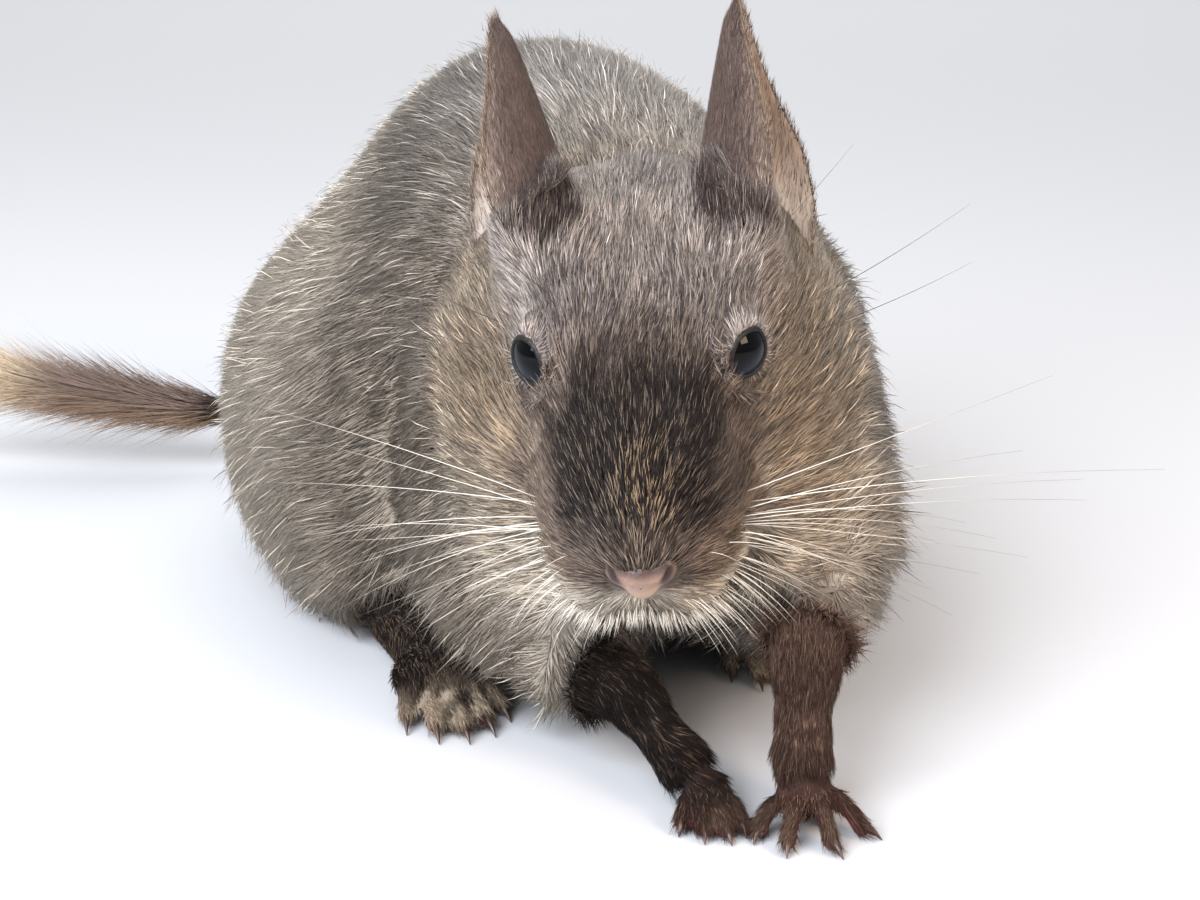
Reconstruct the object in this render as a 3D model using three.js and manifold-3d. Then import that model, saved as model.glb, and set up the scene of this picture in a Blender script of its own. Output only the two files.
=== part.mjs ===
// A life-size degu in a hunched crouch: haunches on the floor, forepaws together in front,
// head low and turned to the viewer, tail held out behind it to the animal's right.
// Millimetres, +Z up. The animal faces -Y and its left side is towards +X.
import * as THREE from "three";
import { mergeVertices } from "three/addons/utils/BufferGeometryUtils.js";
import Module from "manifold-3d";

const wasm = await Module();
wasm.setup();

// Driving sizes, in millimetres and degrees
const gap = 0.3; // between two pieces that touch
const headPitch = 32;
const headRoll = -4;
const headTurn = -3;
const bodyTurn = 15;
const eyeRadius = 4.1;
const eyeSpread = 9.15; // from the middle of the head to an eyeball's centre
const lidLength = 3.4; // half the length of the ring of the lids
const lidHeight = 2.5; // half its height
const lidThickness = 0.75; // radius of the lids' own roll
const lidDepth = 2.85; // from the eyeball's centre out to the plane of the lids
const earHeight = 33;
const earLean = -4; // both ears lean a little to the animal's right
const earThickness = 0.9;
const tailThickness = 5.6; // at the root, with its coat
const brushStart = 0.58; // share of the tail where its brush begins
const brushLocks = 16;
const brushThickness = 9; // across its core and the locks' roots
const clawThickness = 1;
const whiskerThickness = 0.6;

const deg = Math.PI / 180;
const vec = (x, y, z) => new THREE.Vector3(x, y, z);
const turned = (x, y, z) =>
  new THREE.Matrix4().makeRotationFromEuler(new THREE.Euler(x * deg, y * deg, z * deg, "ZXY"));
const moved = (x, y, z) => new THREE.Matrix4().makeTranslation(x, y, z);

// The head's own frame: x to the animal's left, y to the back of the skull, z up, from between the eyes
const headFrame = turned(headPitch, headRoll, headTurn).setPosition(4, 18.8, 45.2);
// The body's own frame: the same axes, from the floor under the middle of the back
const bodyFrame = turned(0, 0, bodyTurn).setPosition(-6, 84, 0);
// An eye's own frame: z out of the head along its line of sight, x to the back of the skull
const eyeFrame = (s) => {
  const axis = vec(s * 0.84, -0.48, 0.25).normalize();
  const along = vec(0, 1, 0).addScaledVector(axis, -axis.y).normalize();
  const basis = new THREE.Matrix4().makeBasis(along, axis.clone().cross(along), axis);
  return headFrame.clone().multiply(basis.setPosition(s * eyeSpread, 1.2, 0));
};
// An ear's own frame: x outwards for the left one, y to the back, z up the ear, from its root
const earFrame = (s) =>
  headFrame.clone().multiply(moved(s * 7.6, 13, -6)).multiply(turned(-46, earLean + s * 1.5, 0));
const world = new THREE.Matrix4();
const sides = [
  ["left", 1],
  ["right", -1],
];

// Distance fields, negative inside
function ball(frame, centre, radii) {
  const e = frame.clone().multiply(moved(...centre)).invert().elements;
  const [a, b, c] = radii;
  return (x, y, z) => {
    const px = (e[0] * x + e[4] * y + e[8] * z + e[12]) / a;
    const py = (e[1] * x + e[5] * y + e[9] * z + e[13]) / b;
    const pz = (e[2] * x + e[6] * y + e[10] * z + e[14]) / c;
    const near = Math.sqrt(px * px + py * py + pz * pz);
    const slope = Math.sqrt((px / a) ** 2 + (py / b) ** 2 + (pz / c) ** 2);
    return slope < 1e-9 ? -Math.min(a, b, c) : (near * (near - 1)) / slope;
  };
}

function limb(frame, from, to, startRadius, endRadius) {
  const a = vec(...from).applyMatrix4(frame);
  const d = vec(...to).applyMatrix4(frame).sub(a);
  const square = d.lengthSq();
  return (x, y, z) => {
    const [px, py, pz] = [x - a.x, y - a.y, z - a.z];
    const t = Math.min(1, Math.max(0, (px * d.x + py * d.y + pz * d.z) / square));
    const away = Math.hypot(px - t * d.x, py - t * d.y, pz - t * d.z);
    return away - (startRadius + (endRadius - startRadius) * t);
  };
}

function soften(a, b, k) {
  const h = Math.max(k - Math.abs(a - b), 0) / k;
  return Math.min(a, b) - (h * h * k) / 4;
}
const join =
  (k, ...fields) =>
  (x, y, z) => {
    let d = fields[0](x, y, z);
    for (let i = 1; i < fields.length; i++) d = soften(d, fields[i](x, y, z), k);
    return d;
  };
const carve =
  (k, field, ...cutters) =>
  (x, y, z) => {
    let d = field(x, y, z);
    for (const cutter of cutters) d = -soften(-d, cutter(x, y, z), k);
    return d;
  };
const grown = (field, by) => (x, y, z) => field(x, y, z) - by;
const both = (make) => [make(1), make(-1)];

// Grid lines from `from` to `to`: `fine` apart within `reach` of `middle`, widening to `coarse` beyond it
function gridLines(from, to, fine, coarse = fine, middle = (from + to) / 2, reach = (to - from) / 2) {
  const lines = [from];
  while (lines.at(-1) < to) {
    const beyond = Math.max(0, Math.abs(lines.at(-1) - middle) - reach);
    lines.push(lines.at(-1) + Math.min(coarse, fine + beyond * 0.12));
  }
  return lines;
}

const about = (middle, size, step) => gridLines(middle - size, middle + size, step);

// Closes a field's surface on a grid in `frame`, with each vertex drawn onto the surface
function surface(field, frame, xs, ys, zs) {
  const [nx, ny, nz] = [xs.length, ys.length, zs.length];
  const at = (i, j, k) => (k * ny + j) * nx + i;
  const e = frame.elements;
  const place = (x, y, z) => [
    e[0] * x + e[4] * y + e[8] * z + e[12],
    e[1] * x + e[5] * y + e[9] * z + e[13],
    e[2] * x + e[6] * y + e[10] * z + e[14],
  ];
  const values = new Float64Array(nx * ny * nz);
  for (let k = 0; k < nz; k++)
    for (let j = 0; j < ny; j++)
      for (let i = 0; i < nx; i++) {
        const edge = i === 0 || j === 0 || k === 0 || i === nx - 1 || j === ny - 1 || k === nz - 1;
        const value = field(...place(xs[i], ys[j], zs[k]));
        values[at(i, j, k)] = edge ? Math.max(value, 0.01) : value;
      }
  fillCrossings(values, nx, ny, nz);
  const cells = new Int32Array(nx * ny * nz).fill(-1);
  const points = [];
  for (let k = 0; k < nz - 1; k++)
    for (let j = 0; j < ny - 1; j++)
      for (let i = 0; i < nx - 1; i++) {
        const sum = [0, 0, 0];
        let crossings = 0;
        const cross = (di, dj, dk, axis) => {
          const a = values[at(i + di, j + dj, k + dk)];
          const step = [axis === 0 ? 1 : 0, axis === 1 ? 1 : 0, axis === 2 ? 1 : 0];
          const b = values[at(i + di + step[0], j + dj + step[1], k + dk + step[2])];
          if (a < 0 === b < 0) return;
          const t = a / (a - b);
          const corner = [xs[i + di], ys[j + dj], zs[k + dk]];
          corner[axis] += t * ([xs, ys, zs][axis][[i + di, j + dj, k + dk][axis] + 1] - corner[axis]);
          for (let c = 0; c < 3; c++) sum[c] += corner[c];
          crossings++;
        };
        for (const p of [0, 1])
          for (const q of [0, 1]) {
            cross(0, p, q, 0);
            cross(p, 0, q, 1);
            cross(p, q, 0, 2);
          }
        if (!crossings) continue;
        cells[at(i, j, k)] = points.length / 3;
        points.push(...place(...sum.map((s) => s / crossings)));
      }
  drawOnto(points, field, Math.min(xs[1] - xs[0], ys[1] - ys[0], zs[1] - zs[0]));
  const faces = [];
  const point = (i) => vec(points[3 * i], points[3 * i + 1], points[3 * i + 2]);
  const apart = (p, q) => point(p).distanceTo(point(q));
  const quad = (flip, ...corners) => {
    const order = flip ? corners.reverse() : corners;
    if (apart(order[0], order[2]) > apart(order[1], order[3])) order.push(order.shift());
    const [p, q, r, s] = order;
    faces.push(p, q, r, p, r, s);
  };
  for (let k = 0; k < nz - 1; k++)
    for (let j = 0; j < ny - 1; j++)
      for (let i = 0; i < nx - 1; i++) {
        const inside = values[at(i, j, k)] < 0;
        const cell = (x, y, z) => cells[at(i - x, j - y, k - z)];
        if (inside !== values[at(i + 1, j, k)] < 0)
          quad(!inside, cell(0, 1, 1), cell(0, 0, 1), cell(0, 0, 0), cell(0, 1, 0));
        if (inside !== values[at(i, j + 1, k)] < 0)
          quad(inside, cell(1, 0, 1), cell(0, 0, 1), cell(0, 0, 0), cell(1, 0, 0));
        if (inside !== values[at(i, j, k + 1)] < 0)
          quad(!inside, cell(1, 1, 0), cell(0, 1, 0), cell(0, 0, 0), cell(1, 0, 0));
      }
  return solid(points, faces);
}

// Where inside and outside meet crosswise on a face of the grid, two sheets would share an edge:
// the outer corner nearest the surface is moved just inside
function fillCrossings(values, nx, ny, nz) {
  const steps = [
    [1, nx],
    [1, nx * ny],
    [nx, nx * ny],
  ];
  for (let round = 0; round < 4; round++)
    for (let i = 0; i < values.length - nx * ny - nx - 1; i++)
      for (const [p, q] of steps) {
        const [a, b, c, d] = [i, i + p, i + p + q, i + q];
        const inside = values[a] < 0;
        if (values[c] < 0 !== inside || values[b] < 0 === inside || values[d] < 0 === inside) continue;
        const [one, other] = inside ? [b, d] : [a, c];
        values[values[one] < values[other] ? one : other] = -0.02;
      }
}

function drawOnto(points, field, most) {
  const d = 0.05;
  for (let round = 0; round < 3; round++)
    for (let i = 0; i < points.length; i += 3) {
      const [x, y, z] = [points[i], points[i + 1], points[i + 2]];
      const value = field(x, y, z);
      if (Math.abs(value) > most) continue;
      const slope = [
        (field(x + d, y, z) - field(x - d, y, z)) / (2 * d),
        (field(x, y + d, z) - field(x, y - d, z)) / (2 * d),
        (field(x, y, z + d) - field(x, y, z - d)) / (2 * d),
      ];
      const square = slope[0] ** 2 + slope[1] ** 2 + slope[2] ** 2;
      if (square < 0.04) continue;
      const move = Math.max(-most / 3, Math.min(most / 3, -value / Math.sqrt(square))) / Math.sqrt(square);
      for (let c = 0; c < 3; c++) points[i + c] += slope[c] * move;
    }
}

// Solids
const solid = (points, faces) =>
  new wasm.Manifold(
    new wasm.Mesh({ numProp: 3, vertProperties: new Float32Array(points), triVerts: new Uint32Array(faces) }),
  );

function solidOf(geometry, matrix = world, near = 1e-4) {
  const g = geometry.clone().applyMatrix4(matrix);
  g.deleteAttribute("normal");
  g.deleteAttribute("uv");
  const merged = mergeVertices(g, near);
  return solid(merged.attributes.position.array, merged.index.array);
}
function geometryOf(shape) {
  const mesh = shape.getMesh();
  return new THREE.BufferGeometry()
    .setAttribute("position", new THREE.BufferAttribute(mesh.vertProperties, 3))
    .setIndex(new THREE.BufferAttribute(mesh.triVerts, 1));
}

// The same, with its faces turned outwards
function outward(points, faces) {
  const shape = solid(points, faces);
  return shape.volume() > 0 ? shape : solid(points, [...faces].reverse());
}

// Everything on the side of a plane that `normal` points to
function halfSpace(point, normal) {
  const size = 400;
  const turn = new THREE.Quaternion().setFromUnitVectors(vec(0, 0, 1), normal.clone().normalize());
  const matrix = new THREE.Matrix4().makeRotationFromQuaternion(turn).setPosition(point);
  return solidOf(new THREE.BoxGeometry(size, size, size).translate(0, 0, size / 2), matrix);
}

const ellipsoid = (frame, centre, radii, around = 18) => {
  const sphere = new THREE.SphereGeometry(1, around, Math.round(around * 0.67));
  return solidOf(sphere.scale(...radii), frame.clone().multiply(moved(...centre)));
};
const largest = (shape) => shape.decompose().sort((a, b) => b.volume() - a.volume())[0];
const cleaned = (shape) => largest(solidOf(geometryOf(largest(shape)), world, 1e-3));
const less = (shape, ...cutters) => cutters.reduce((rest, cutter) => rest.subtract(cutter), shape);

// Rings of points, one after another, closed at both ends
function skinRings(rings) {
  const n = rings[0].length;
  const points = rings.flat().flatMap((p) => p.toArray());
  const faces = [];
  for (let i = 0; i < rings.length - 1; i++)
    for (let j = 0; j < n; j++) {
      const [a, b] = [i * n + j, i * n + ((j + 1) % n)];
      faces.push(a, b, b + n, a, b + n, a + n);
    }
  const middle = (r) => r.reduce((sum, p) => sum.add(p), vec(0, 0, 0)).divideScalar(n);
  const [first, last] = [points.length / 3, points.length / 3 + 1];
  points.push(...middle(rings[0]).toArray(), ...middle(rings.at(-1)).toArray());
  const end = (rings.length - 1) * n;
  for (let j = 0; j < n; j++) {
    const next = (j + 1) % n;
    faces.push(first, next, j, last, end + j, end + next);
  }
  return outward(points, faces);
}

// A round tube along a curve between two shares of its length
function tube(curve, from, to, radiusAt, rings, around) {
  const made = [];
  let across = null;
  for (let i = 0; i <= rings; i++) {
    const t = from + ((to - from) * i) / rings;
    const ahead = curve.getTangentAt(t);
    across = (across ?? vec(0.13, 0.2, 1)).clone();
    across.sub(ahead.clone().multiplyScalar(across.dot(ahead))).normalize();
    const up = ahead.clone().cross(across);
    const middle = curve.getPointAt(t);
    made.push(
      Array.from({ length: around }, (_, j) => {
        const a = (2 * Math.PI * j) / around;
        return middle
          .clone()
          .addScaledVector(across, Math.cos(a) * radiusAt(t))
          .addScaledVector(up, Math.sin(a) * radiusAt(t));
      }),
    );
  }
  return skinRings(made);
}

// Torso, neck and haunches
const trunkField = join(
  16,
  ball(bodyFrame, [0.3, 9, 39], [26.5, 33, 31.5]),
  ball(bodyFrame, [0.5, -14, 36], [28.5, 31, 28]),
  ball(bodyFrame, [1, -35, 32], [24, 20, 24]),
  ball(bodyFrame, [0, 27, 27], [25, 18, 24]),
  ball(bodyFrame, [0, 7, 26], [33.5, 36, 27]),
  ...both((s) => ball(bodyFrame, [s * 27, 7, 20.5], [18, 28, 20.5])),
  ...both((s) => ball(bodyFrame, [s * 29, -13, 10.5], [10, 19, 12])),
);
const neckField = join(
  6,
  ball(world, [6.5, 39, 31], [27, 19, 24]),
  ball(world, [8, 47, 43], [22, 16, 18]),
  ball(world, [-9, 34, 17], [13, 13, 12]),
  ball(world, [21, 32, 20], [13, 13, 13]),
);

// Head
const skullField = join(
  5,
  ball(headFrame, [0, 13, -5], [14.5, 19, 13]),
  ball(headFrame, [0, -6.5, -5.4], [10.2, 13.5, 9.5]),
  ...both((s) => ball(headFrame, [s * 7.1, 3.9, 0.5], [4.3, 8.2, 5.5])),
  ...both((s) => ball(headFrame, [s * 9.4, 17, -2], [6, 8.5, 7.5])),
  ...both((s) => ball(headFrame, [s * 11, 3, -14], [10, 13, 10.5])),
  ...both((s) => ball(earFrame(s), [s * 3, -8, 11.5], [4.6, 4, 8])),
);
const snoutField = join(
  3,
  ball(headFrame, [0, -13, -9.5], [9.6, 9, 8.5]),
  ...both((s) => ball(headFrame, [s * 5, -14.5, -11], [5.4, 6.5, 6.2])),
  ...both((s) => ball(headFrame, [s * 3.2, -18, -13.2], [4.2, 4, 4])),
  ball(headFrame, [0, -11, -17.5], [5.5, 7, 4]),
  ball(headFrame, [0, -2, -19], [9, 9, 8]),
);
const faceField = join(4, skullField, snoutField);
const noseField = join(
  1.2,
  ball(headFrame, [0, -21.2, -8.4], [2.7, 2.2, 2.7]),
  ...both((s) => ball(headFrame, [s * 2.2, -20.6, -7.4], [1.6, 2.2, 1.7])),
);
const nostrils = both((s) => limb(headFrame, [s * 1.9, -23.2, -7.9], [s * 3.4, -21.9, -7], 0.5, 0.45));
const lipCleft = limb(headFrame, [0, -23.6, -10.6], [0, -22.3, -15], 0.5, 0.5);
const mouthLine = both((s) => limb(headFrame, [0, -21.3, -16.6], [s * 6.2, -16, -18], 0.6, 0.6));

// Legs: the point of each elbow and joint below it, and each hind foot's heel and ball
const foreLegs = {
  left: { elbow: [23, 19, 18], middle: [21.8, 11, 14.5], wrist: [20.9, 5.2, 5.5], palm: [21.3, 3.4, 2.6] },
  right: { elbow: [-3.5, 22.5, 10], middle: [2.6, 15.5, 9.4], wrist: [8.8, 7, 4.4], palm: [11, 4.9, 2.6] },
};
// Each finger from its knuckle to its tip, and the point of its claw
const fingers = {
  left: [
    [[18.4, 2.4, 3.2], [16.2, -0.8, 1], [15.5, -2.6, 0.3]],
    [[20, 0.8, 3.2], [18.9, -3.2, 1], [18.6, -5.4, 0.3]],
    [[22.2, 0.6, 3.2], [23.2, -3.4, 1], [24.2, -5.6, 0.3]],
    [[23.8, 2.2, 3.2], [26.6, -0.6, 1], [28.6, -1.6, 0.3]],
  ],
  right: [
    [[9.2, 3.6, 2.9], [7.6, 1.4, 1], [6.8, -0.5, 0.3]],
    [[10.4, 2.8, 2.9], [9.6, -0.5, 1], [9.3, -2.6, 0.3]],
    [[11.7, 2.6, 2.9], [11.9, -1.2, 1], [12, -3.3, 0.3]],
    [[12.9, 3.2, 2.9], [13.7, 0.1, 1], [13.9, -2, 0.3]],
  ],
};
const fingerRadius = 1.1;
const hindFeet = {
  left: { heel: [12, 76, 4], ball: [20, 46, 3.4], turn: 14 },
  right: { heel: [-29, 58, 4], ball: [-18.5, 32, 3.4], turn: 20 },
};
const toeRadius = 1.4;
// The tip of each toe, from the ball of the foot
const toeTips = [
  [-5.6, -4.5],
  [-3.1, -8],
  [-0.2, -9.2],
  [2.7, -8.4],
  [5.2, -5.2],
].map(([x, y]) => vec(x, y, -2.1));
const clawPoint = (tip) => vec(tip.x * 1.12, tip.y - 3.1, -3.1);
const footFrame = (side) => turned(0, 0, hindFeet[side].turn).setPosition(...hindFeet[side].ball);

const handField = (side) =>
  join(
    1,
    ball(world, foreLegs[side].palm, [3.5, 3.6, 2.8]),
    limb(world, foreLegs[side].wrist, foreLegs[side].palm, 3, 2.4),
    ...fingers[side].map(([knuckle, tip]) => limb(world, knuckle, tip, 1.4, fingerRadius)),
  );
const foreArmField = (side) => {
  const { elbow, middle, wrist } = foreLegs[side];
  return join(3, limb(world, elbow, middle, 6.5, 3.9), limb(world, middle, wrist, 3.8, 3.1));
};
const footField = (side) =>
  join(
    1.6,
    limb(world, hindFeet[side].heel, hindFeet[side].ball, 4.2, 3.8),
    ball(footFrame(side), [0, 1.5, 0], [6.2, 7, 3.9]),
    ...toeTips.map((tip) =>
      limb(footFrame(side), [tip.x * 0.72, tip.y * 0.1 + 1.5, 0.2], tip.toArray(), 1.9, toeRadius),
    ),
  );
const upperArmField = join(
  4,
  limb(world, [-6, 30, 18], foreLegs.right.elbow, 11, 7),
  limb(world, [24, 28, 24], foreLegs.left.elbow, 10, 6.5),
);
const coatField = (x, y, z) =>
  soften(
    soften(soften(trunkField(x, y, z), neckField(x, y, z), 8), faceField(x, y, z), 5),
    upperArmField(x, y, z),
    4,
  );

// Blocks that part the whole animal: about the head, the neck and each haunch, and below each elbow
const above = halfSpace(vec(0, 0, 0), vec(0, 0, 1));
const headBlock = (by) => ellipsoid(headFrame, [0, 4, -7], [24 + by, 31 + by, 22 + by]);
const neckBlock = (by) => ellipsoid(world, [7, 40, 38], [33 + by, 22 + by, 27 + by]);
const thighBlock = (s, by) => ellipsoid(bodyFrame, [s * 30, 0, 12], [19 + by, 34 + by, 27 + by]);
function forearmBlock(side, by) {
  const elbow = vec(...foreLegs[side].elbow);
  const middle = vec(...foreLegs[side].middle);
  const along = middle.clone().sub(elbow).normalize();
  const start = elbow.clone().lerp(middle, 0.55).addScaledVector(along, -by);
  const turn = new THREE.Quaternion().setFromUnitVectors(vec(0, 1, 0), along);
  const length = 40;
  return solidOf(
    new THREE.CylinderGeometry(8 + by, 8 + by, length, 20).translate(0, length / 2, 0),
    new THREE.Matrix4().makeRotationFromQuaternion(turn).setPosition(start),
  );
}

const group = new THREE.Group();
const looks = {
  coat: { color: 0x8a7f75, roughness: 0.9, metalness: 0 },
  face: { color: 0x6b5f57, roughness: 0.9, metalness: 0 },
  ear: { color: 0x8d7263, roughness: 0.85, metalness: 0 },
  eye: { color: 0x10141c, roughness: 0.08, metalness: 0 },
  lid: { color: 0x4a403c, roughness: 0.7, metalness: 0 },
  leg: { color: 0x4c403b, roughness: 0.9, metalness: 0 },
  claw: { color: 0x2a211d, roughness: 0.4, metalness: 0 },
  tail: { color: 0x4a3d34, roughness: 0.9, metalness: 0 },
  whisker: { color: 0xd8d0c4, roughness: 0.5, metalness: 0 },
};
const made = {};
function add(name, shape, look) {
  made[name] = { shape: cleaned(shape), look };
}

const whole = surface(
  coatField,
  world,
  gridLines(-60, 50, 6.4),
  gridLines(-4, 140, 6.6),
  gridLines(-6, 84, 6.2),
).intersect(above);
const headWhole = surface(
  coatField,
  headFrame,
  gridLines(-31, 31, 3.1),
  gridLines(-26, 42, 3.2),
  gridLines(-34, 18, 3.1),
);
const muzzleField = carve(0.5, join(1.2, coatField, noseField), ...nostrils, lipCleft, ...mouthLine);
const muzzleWhole = surface(
  muzzleField,
  headFrame,
  gridLines(-10, 10, 0.92),
  gridLines(-25, -13, 0.95),
  gridLines(-23, -1, 0.92),
);
const muzzleBlock = (by) => ellipsoid(headFrame, [0, -22, -12], [7.8 + by, 8 + by, 8.6 + by]);
const blocks = sides.map(([side, s]) => [forearmBlock(side, gap / 2), thighBlock(s, gap / 2)]).flat();

// Head with its muzzle, and the sockets of the eyes
const eyeball = (s, by) => solidOf(new THREE.SphereGeometry(eyeRadius + by, 16, 10), eyeFrame(s));
const lids = (s) =>
  solidOf(
    new THREE.TorusGeometry(lidLength, lidThickness, 6, 16)
      .scale(1, lidHeight / lidLength, 1)
      .translate(0, 0, lidDepth),
    eyeFrame(s),
  );
const lidRoll = lidThickness + gap;
const eyeOpening = (s) =>
  ellipsoid(eyeFrame(s), [0, 0, lidDepth], [lidLength + lidRoll, lidHeight + lidRoll, 2.6]);

// Whisker pads: the swollen side of each upper lip, with its longest whiskers. Each whisker's root
// lies in the pad, and its tip is so far out, back and up from there.
const padPlace = [8.8, -15, -12];
const padBlock = (s, by) =>
  ellipsoid(headFrame, [s * padPlace[0], padPlace[1], padPlace[2]], [3.2 + by, 3.4 + by, 3.6 + by], 10);
const whiskerReaches = [
  [34, 5, 10],
  [36, 10, 3],
  [35, 4, -3],
  [30, 12, -5],
  [25, 5, -12],
];
function whisker(s, [out, back, up]) {
  const [x, y, z] = padPlace;
  const root = vec(s * (x - 0.6), y, z + up * 0.07);
  const bend = vec(s * (x + out * 0.55), y - 4, z + up * 0.75 + 2);
  const tip = vec(s * (x + out), y + back, z + up);
  const points = [root, bend, tip].map((point) => point.applyMatrix4(headFrame));
  const curve = new THREE.QuadraticBezierCurve3(...points);
  return tube(curve, 0, 1, (t) => (whiskerThickness / 2) * (1 - 0.7 * t), 4, 3);
}

add("muzzle", muzzleWhole.intersect(muzzleBlock(-gap / 2)), looks.face);
let headSolid = headWhole.intersect(headBlock(-gap / 2)).subtract(muzzleBlock(gap / 2));
for (const [, s] of sides) headSolid = less(headSolid, eyeball(s, gap), eyeOpening(s));
for (const [side, s] of sides) {
  headSolid = headSolid.subtract(padBlock(s, gap / 2));
  const pad = headWhole.intersect(padBlock(s, -gap / 2)).subtract(muzzleBlock(gap / 2));
  add("whiskers_" + side, whiskerReaches.reduce((rest, reach) => rest.add(whisker(s, reach)), pad), looks.whisker);
}
add("head", headSolid, looks.face);

add("neck", less(whole.intersect(neckBlock(-gap / 2)), headBlock(gap / 2), ...blocks), looks.coat);
add("torso", less(whole, headBlock(gap / 2), neckBlock(gap / 2), ...blocks), looks.coat);
for (const [side, s] of sides) {
  add("thigh_" + side, whole.intersect(thighBlock(s, -gap / 2)), looks.coat);
  add("eye_" + side, eyeball(s, 0), looks.eye);
  add("lids_" + side, lids(s).subtract(eyeball(s, gap)), looks.lid);
}

// Ears: a sheet folded along its middle into a cup, open to the side. Each row gives its height
// and, outwards from the head, its fold, front edge and back edge, then how far forward the
// front edge stands and how far back the back edge does.
const earRows = [
  [0, 5.5, 6.5, 7.5, 2, 2],
  [3, 1.6, 4.6, 10.4, 4.6, 4.4],
  [9, -0.6, 6.2, 12, 7.2, 6.4],
  [16, -0.1, 7.3, 10.8, 7.4, 6.8],
  [23, 1.6, 6.6, 8.2, 6, 5.4],
  [29, 3.1, 5.7, 6.6, 3.8, 3.6],
  [32, 4.1, 5.2, 5.6, 2, 1.9],
  [earHeight, 4.6, 5, 5.1, 0.8, 0.8],
];
function earRow(height) {
  let i = 0;
  while (i < earRows.length - 2 && earRows[i + 1][0] < height) i++;
  const [low, high] = [earRows[i], earRows[i + 1]];
  const t = (height - low[0]) / (high[0] - low[0]);
  return low.map((size, c) => size + (high[c] - size) * t);
}
function earPoint(s, u, v) {
  const [height, fold, front, back, forward, rear] = earRow(v * earHeight);
  const bend = Math.abs(u);
  const out = fold + ((u < 0 ? front : back) - fold) * bend ** 1.6;
  const depth = Math.sin((bend * Math.PI) / 2) * (u < 0 ? -forward : rear);
  return vec(s * out, depth, height);
}
function sheet(at, columns, rows, thickness) {
  const points = [];
  const step = 0.01;
  for (const side of [0.5, -0.5])
    for (let j = 0; j <= rows; j++)
      for (let i = 0; i <= columns; i++) {
        const [u, v] = [(2 * i) / columns - 1, j / rows];
        const [u1, v1] = [u > 0.99 ? u - step : u + step, v > 0.5 ? v - step : v + step];
        const p = at(u, v);
        const du = at(u1, v).sub(p).multiplyScalar(Math.sign(u1 - u));
        const dv = at(u, v1).sub(p).multiplyScalar(Math.sign(v1 - v));
        points.push(...p.addScaledVector(du.cross(dv).normalize(), thickness * side).toArray());
      }
  const n = columns + 1;
  const back = n * (rows + 1);
  const faces = [];
  for (let j = 0; j < rows; j++)
    for (let i = 0; i < columns; i++) {
      const a = j * n + i;
      faces.push(a, a + 1, a + n + 1, a, a + n + 1, a + n);
      faces.push(back + a, back + a + n + 1, back + a + 1, back + a, back + a + n, back + a + n + 1);
    }
  const border = [];
  for (let i = 0; i < columns; i++) border.push(i);
  for (let j = 0; j < rows; j++) border.push(j * n + columns);
  for (let i = columns; i > 0; i--) border.push(rows * n + i);
  for (let j = rows; j > 0; j--) border.push(j * n);
  border.forEach((a, i) => {
    const b = border[(i + 1) % border.length];
    faces.push(a, back + a, back + b, a, back + b, b);
  });
  return [points, faces];
}
function earSolid(s) {
  const at = (u, v) => earPoint(s, u, v).applyMatrix4(earFrame(s));
  return outward(...sheet(at, 6, 10, earThickness));
}
for (const [side, s] of sides) {
  const middle = vec(0, 0, earHeight / 2).applyMatrix4(earFrame(s));
  const bed = surface(
    grown(coatField, 2 * gap),
    world,
    about(middle.x, 24, 1.6),
    about(middle.y, 24, 1.6),
    about(middle.z, 24, 1.6),
  );
  add("ear_" + side, earSolid(s).subtract(bed), looks.ear);
}

// Forelegs, forepaws and hind feet
for (const [side] of sides) {
  const { middle, wrist, palm } = foreLegs[side];
  const forearm = surface(
    join(3, coatField, foreArmField(side), handField(side)),
    world,
    about(middle[0], 17, 2.4),
    about(middle[1], 17, 2.4),
    gridLines(-2, 30, 2.4),
  );
  const wristPoint = vec(...wrist).lerp(vec(...palm), 0.35);
  const down = vec(...palm).sub(vec(...wrist)).normalize();
  const wristCut = (by) => halfSpace(wristPoint.clone().addScaledVector(down, by), down);
  const belowElbow = forearm.intersect(forearmBlock(side, -gap / 2)).intersect(above);
  add("foreleg_" + side, belowElbow.subtract(wristCut(-gap / 2)), looks.leg);
  const hand = surface(
    join(1, handField(side), foreArmField(side)),
    world,
    about(palm[0], 9.4, 1.18),
    about(palm[1] - 0.5, 8.6, 1.18),
    gridLines(-1.9, 9, 1.18),
  );
  add("forepaw_" + side, hand.intersect(wristCut(gap / 2)).intersect(above), looks.leg);
  const { ball: pad, heel } = hindFeet[side];
  const foot = surface(
    footField(side),
    footFrame(side),
    gridLines(-11, 13, 1.8),
    gridLines(-14, 34, 1.8, 4, -8, 8),
    gridLines(-6, 6, 1.8),
  );
  const bed = surface(
    grown(coatField, 2 * gap),
    footFrame(side),
    gridLines(-14, 16, 2.2),
    gridLines(-16, 40, 2.2),
    gridLines(-6, 12, 2.2),
  );
  add("hind_foot_" + side, foot.intersect(above).subtract(bed), looks.leg);
}

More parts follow.
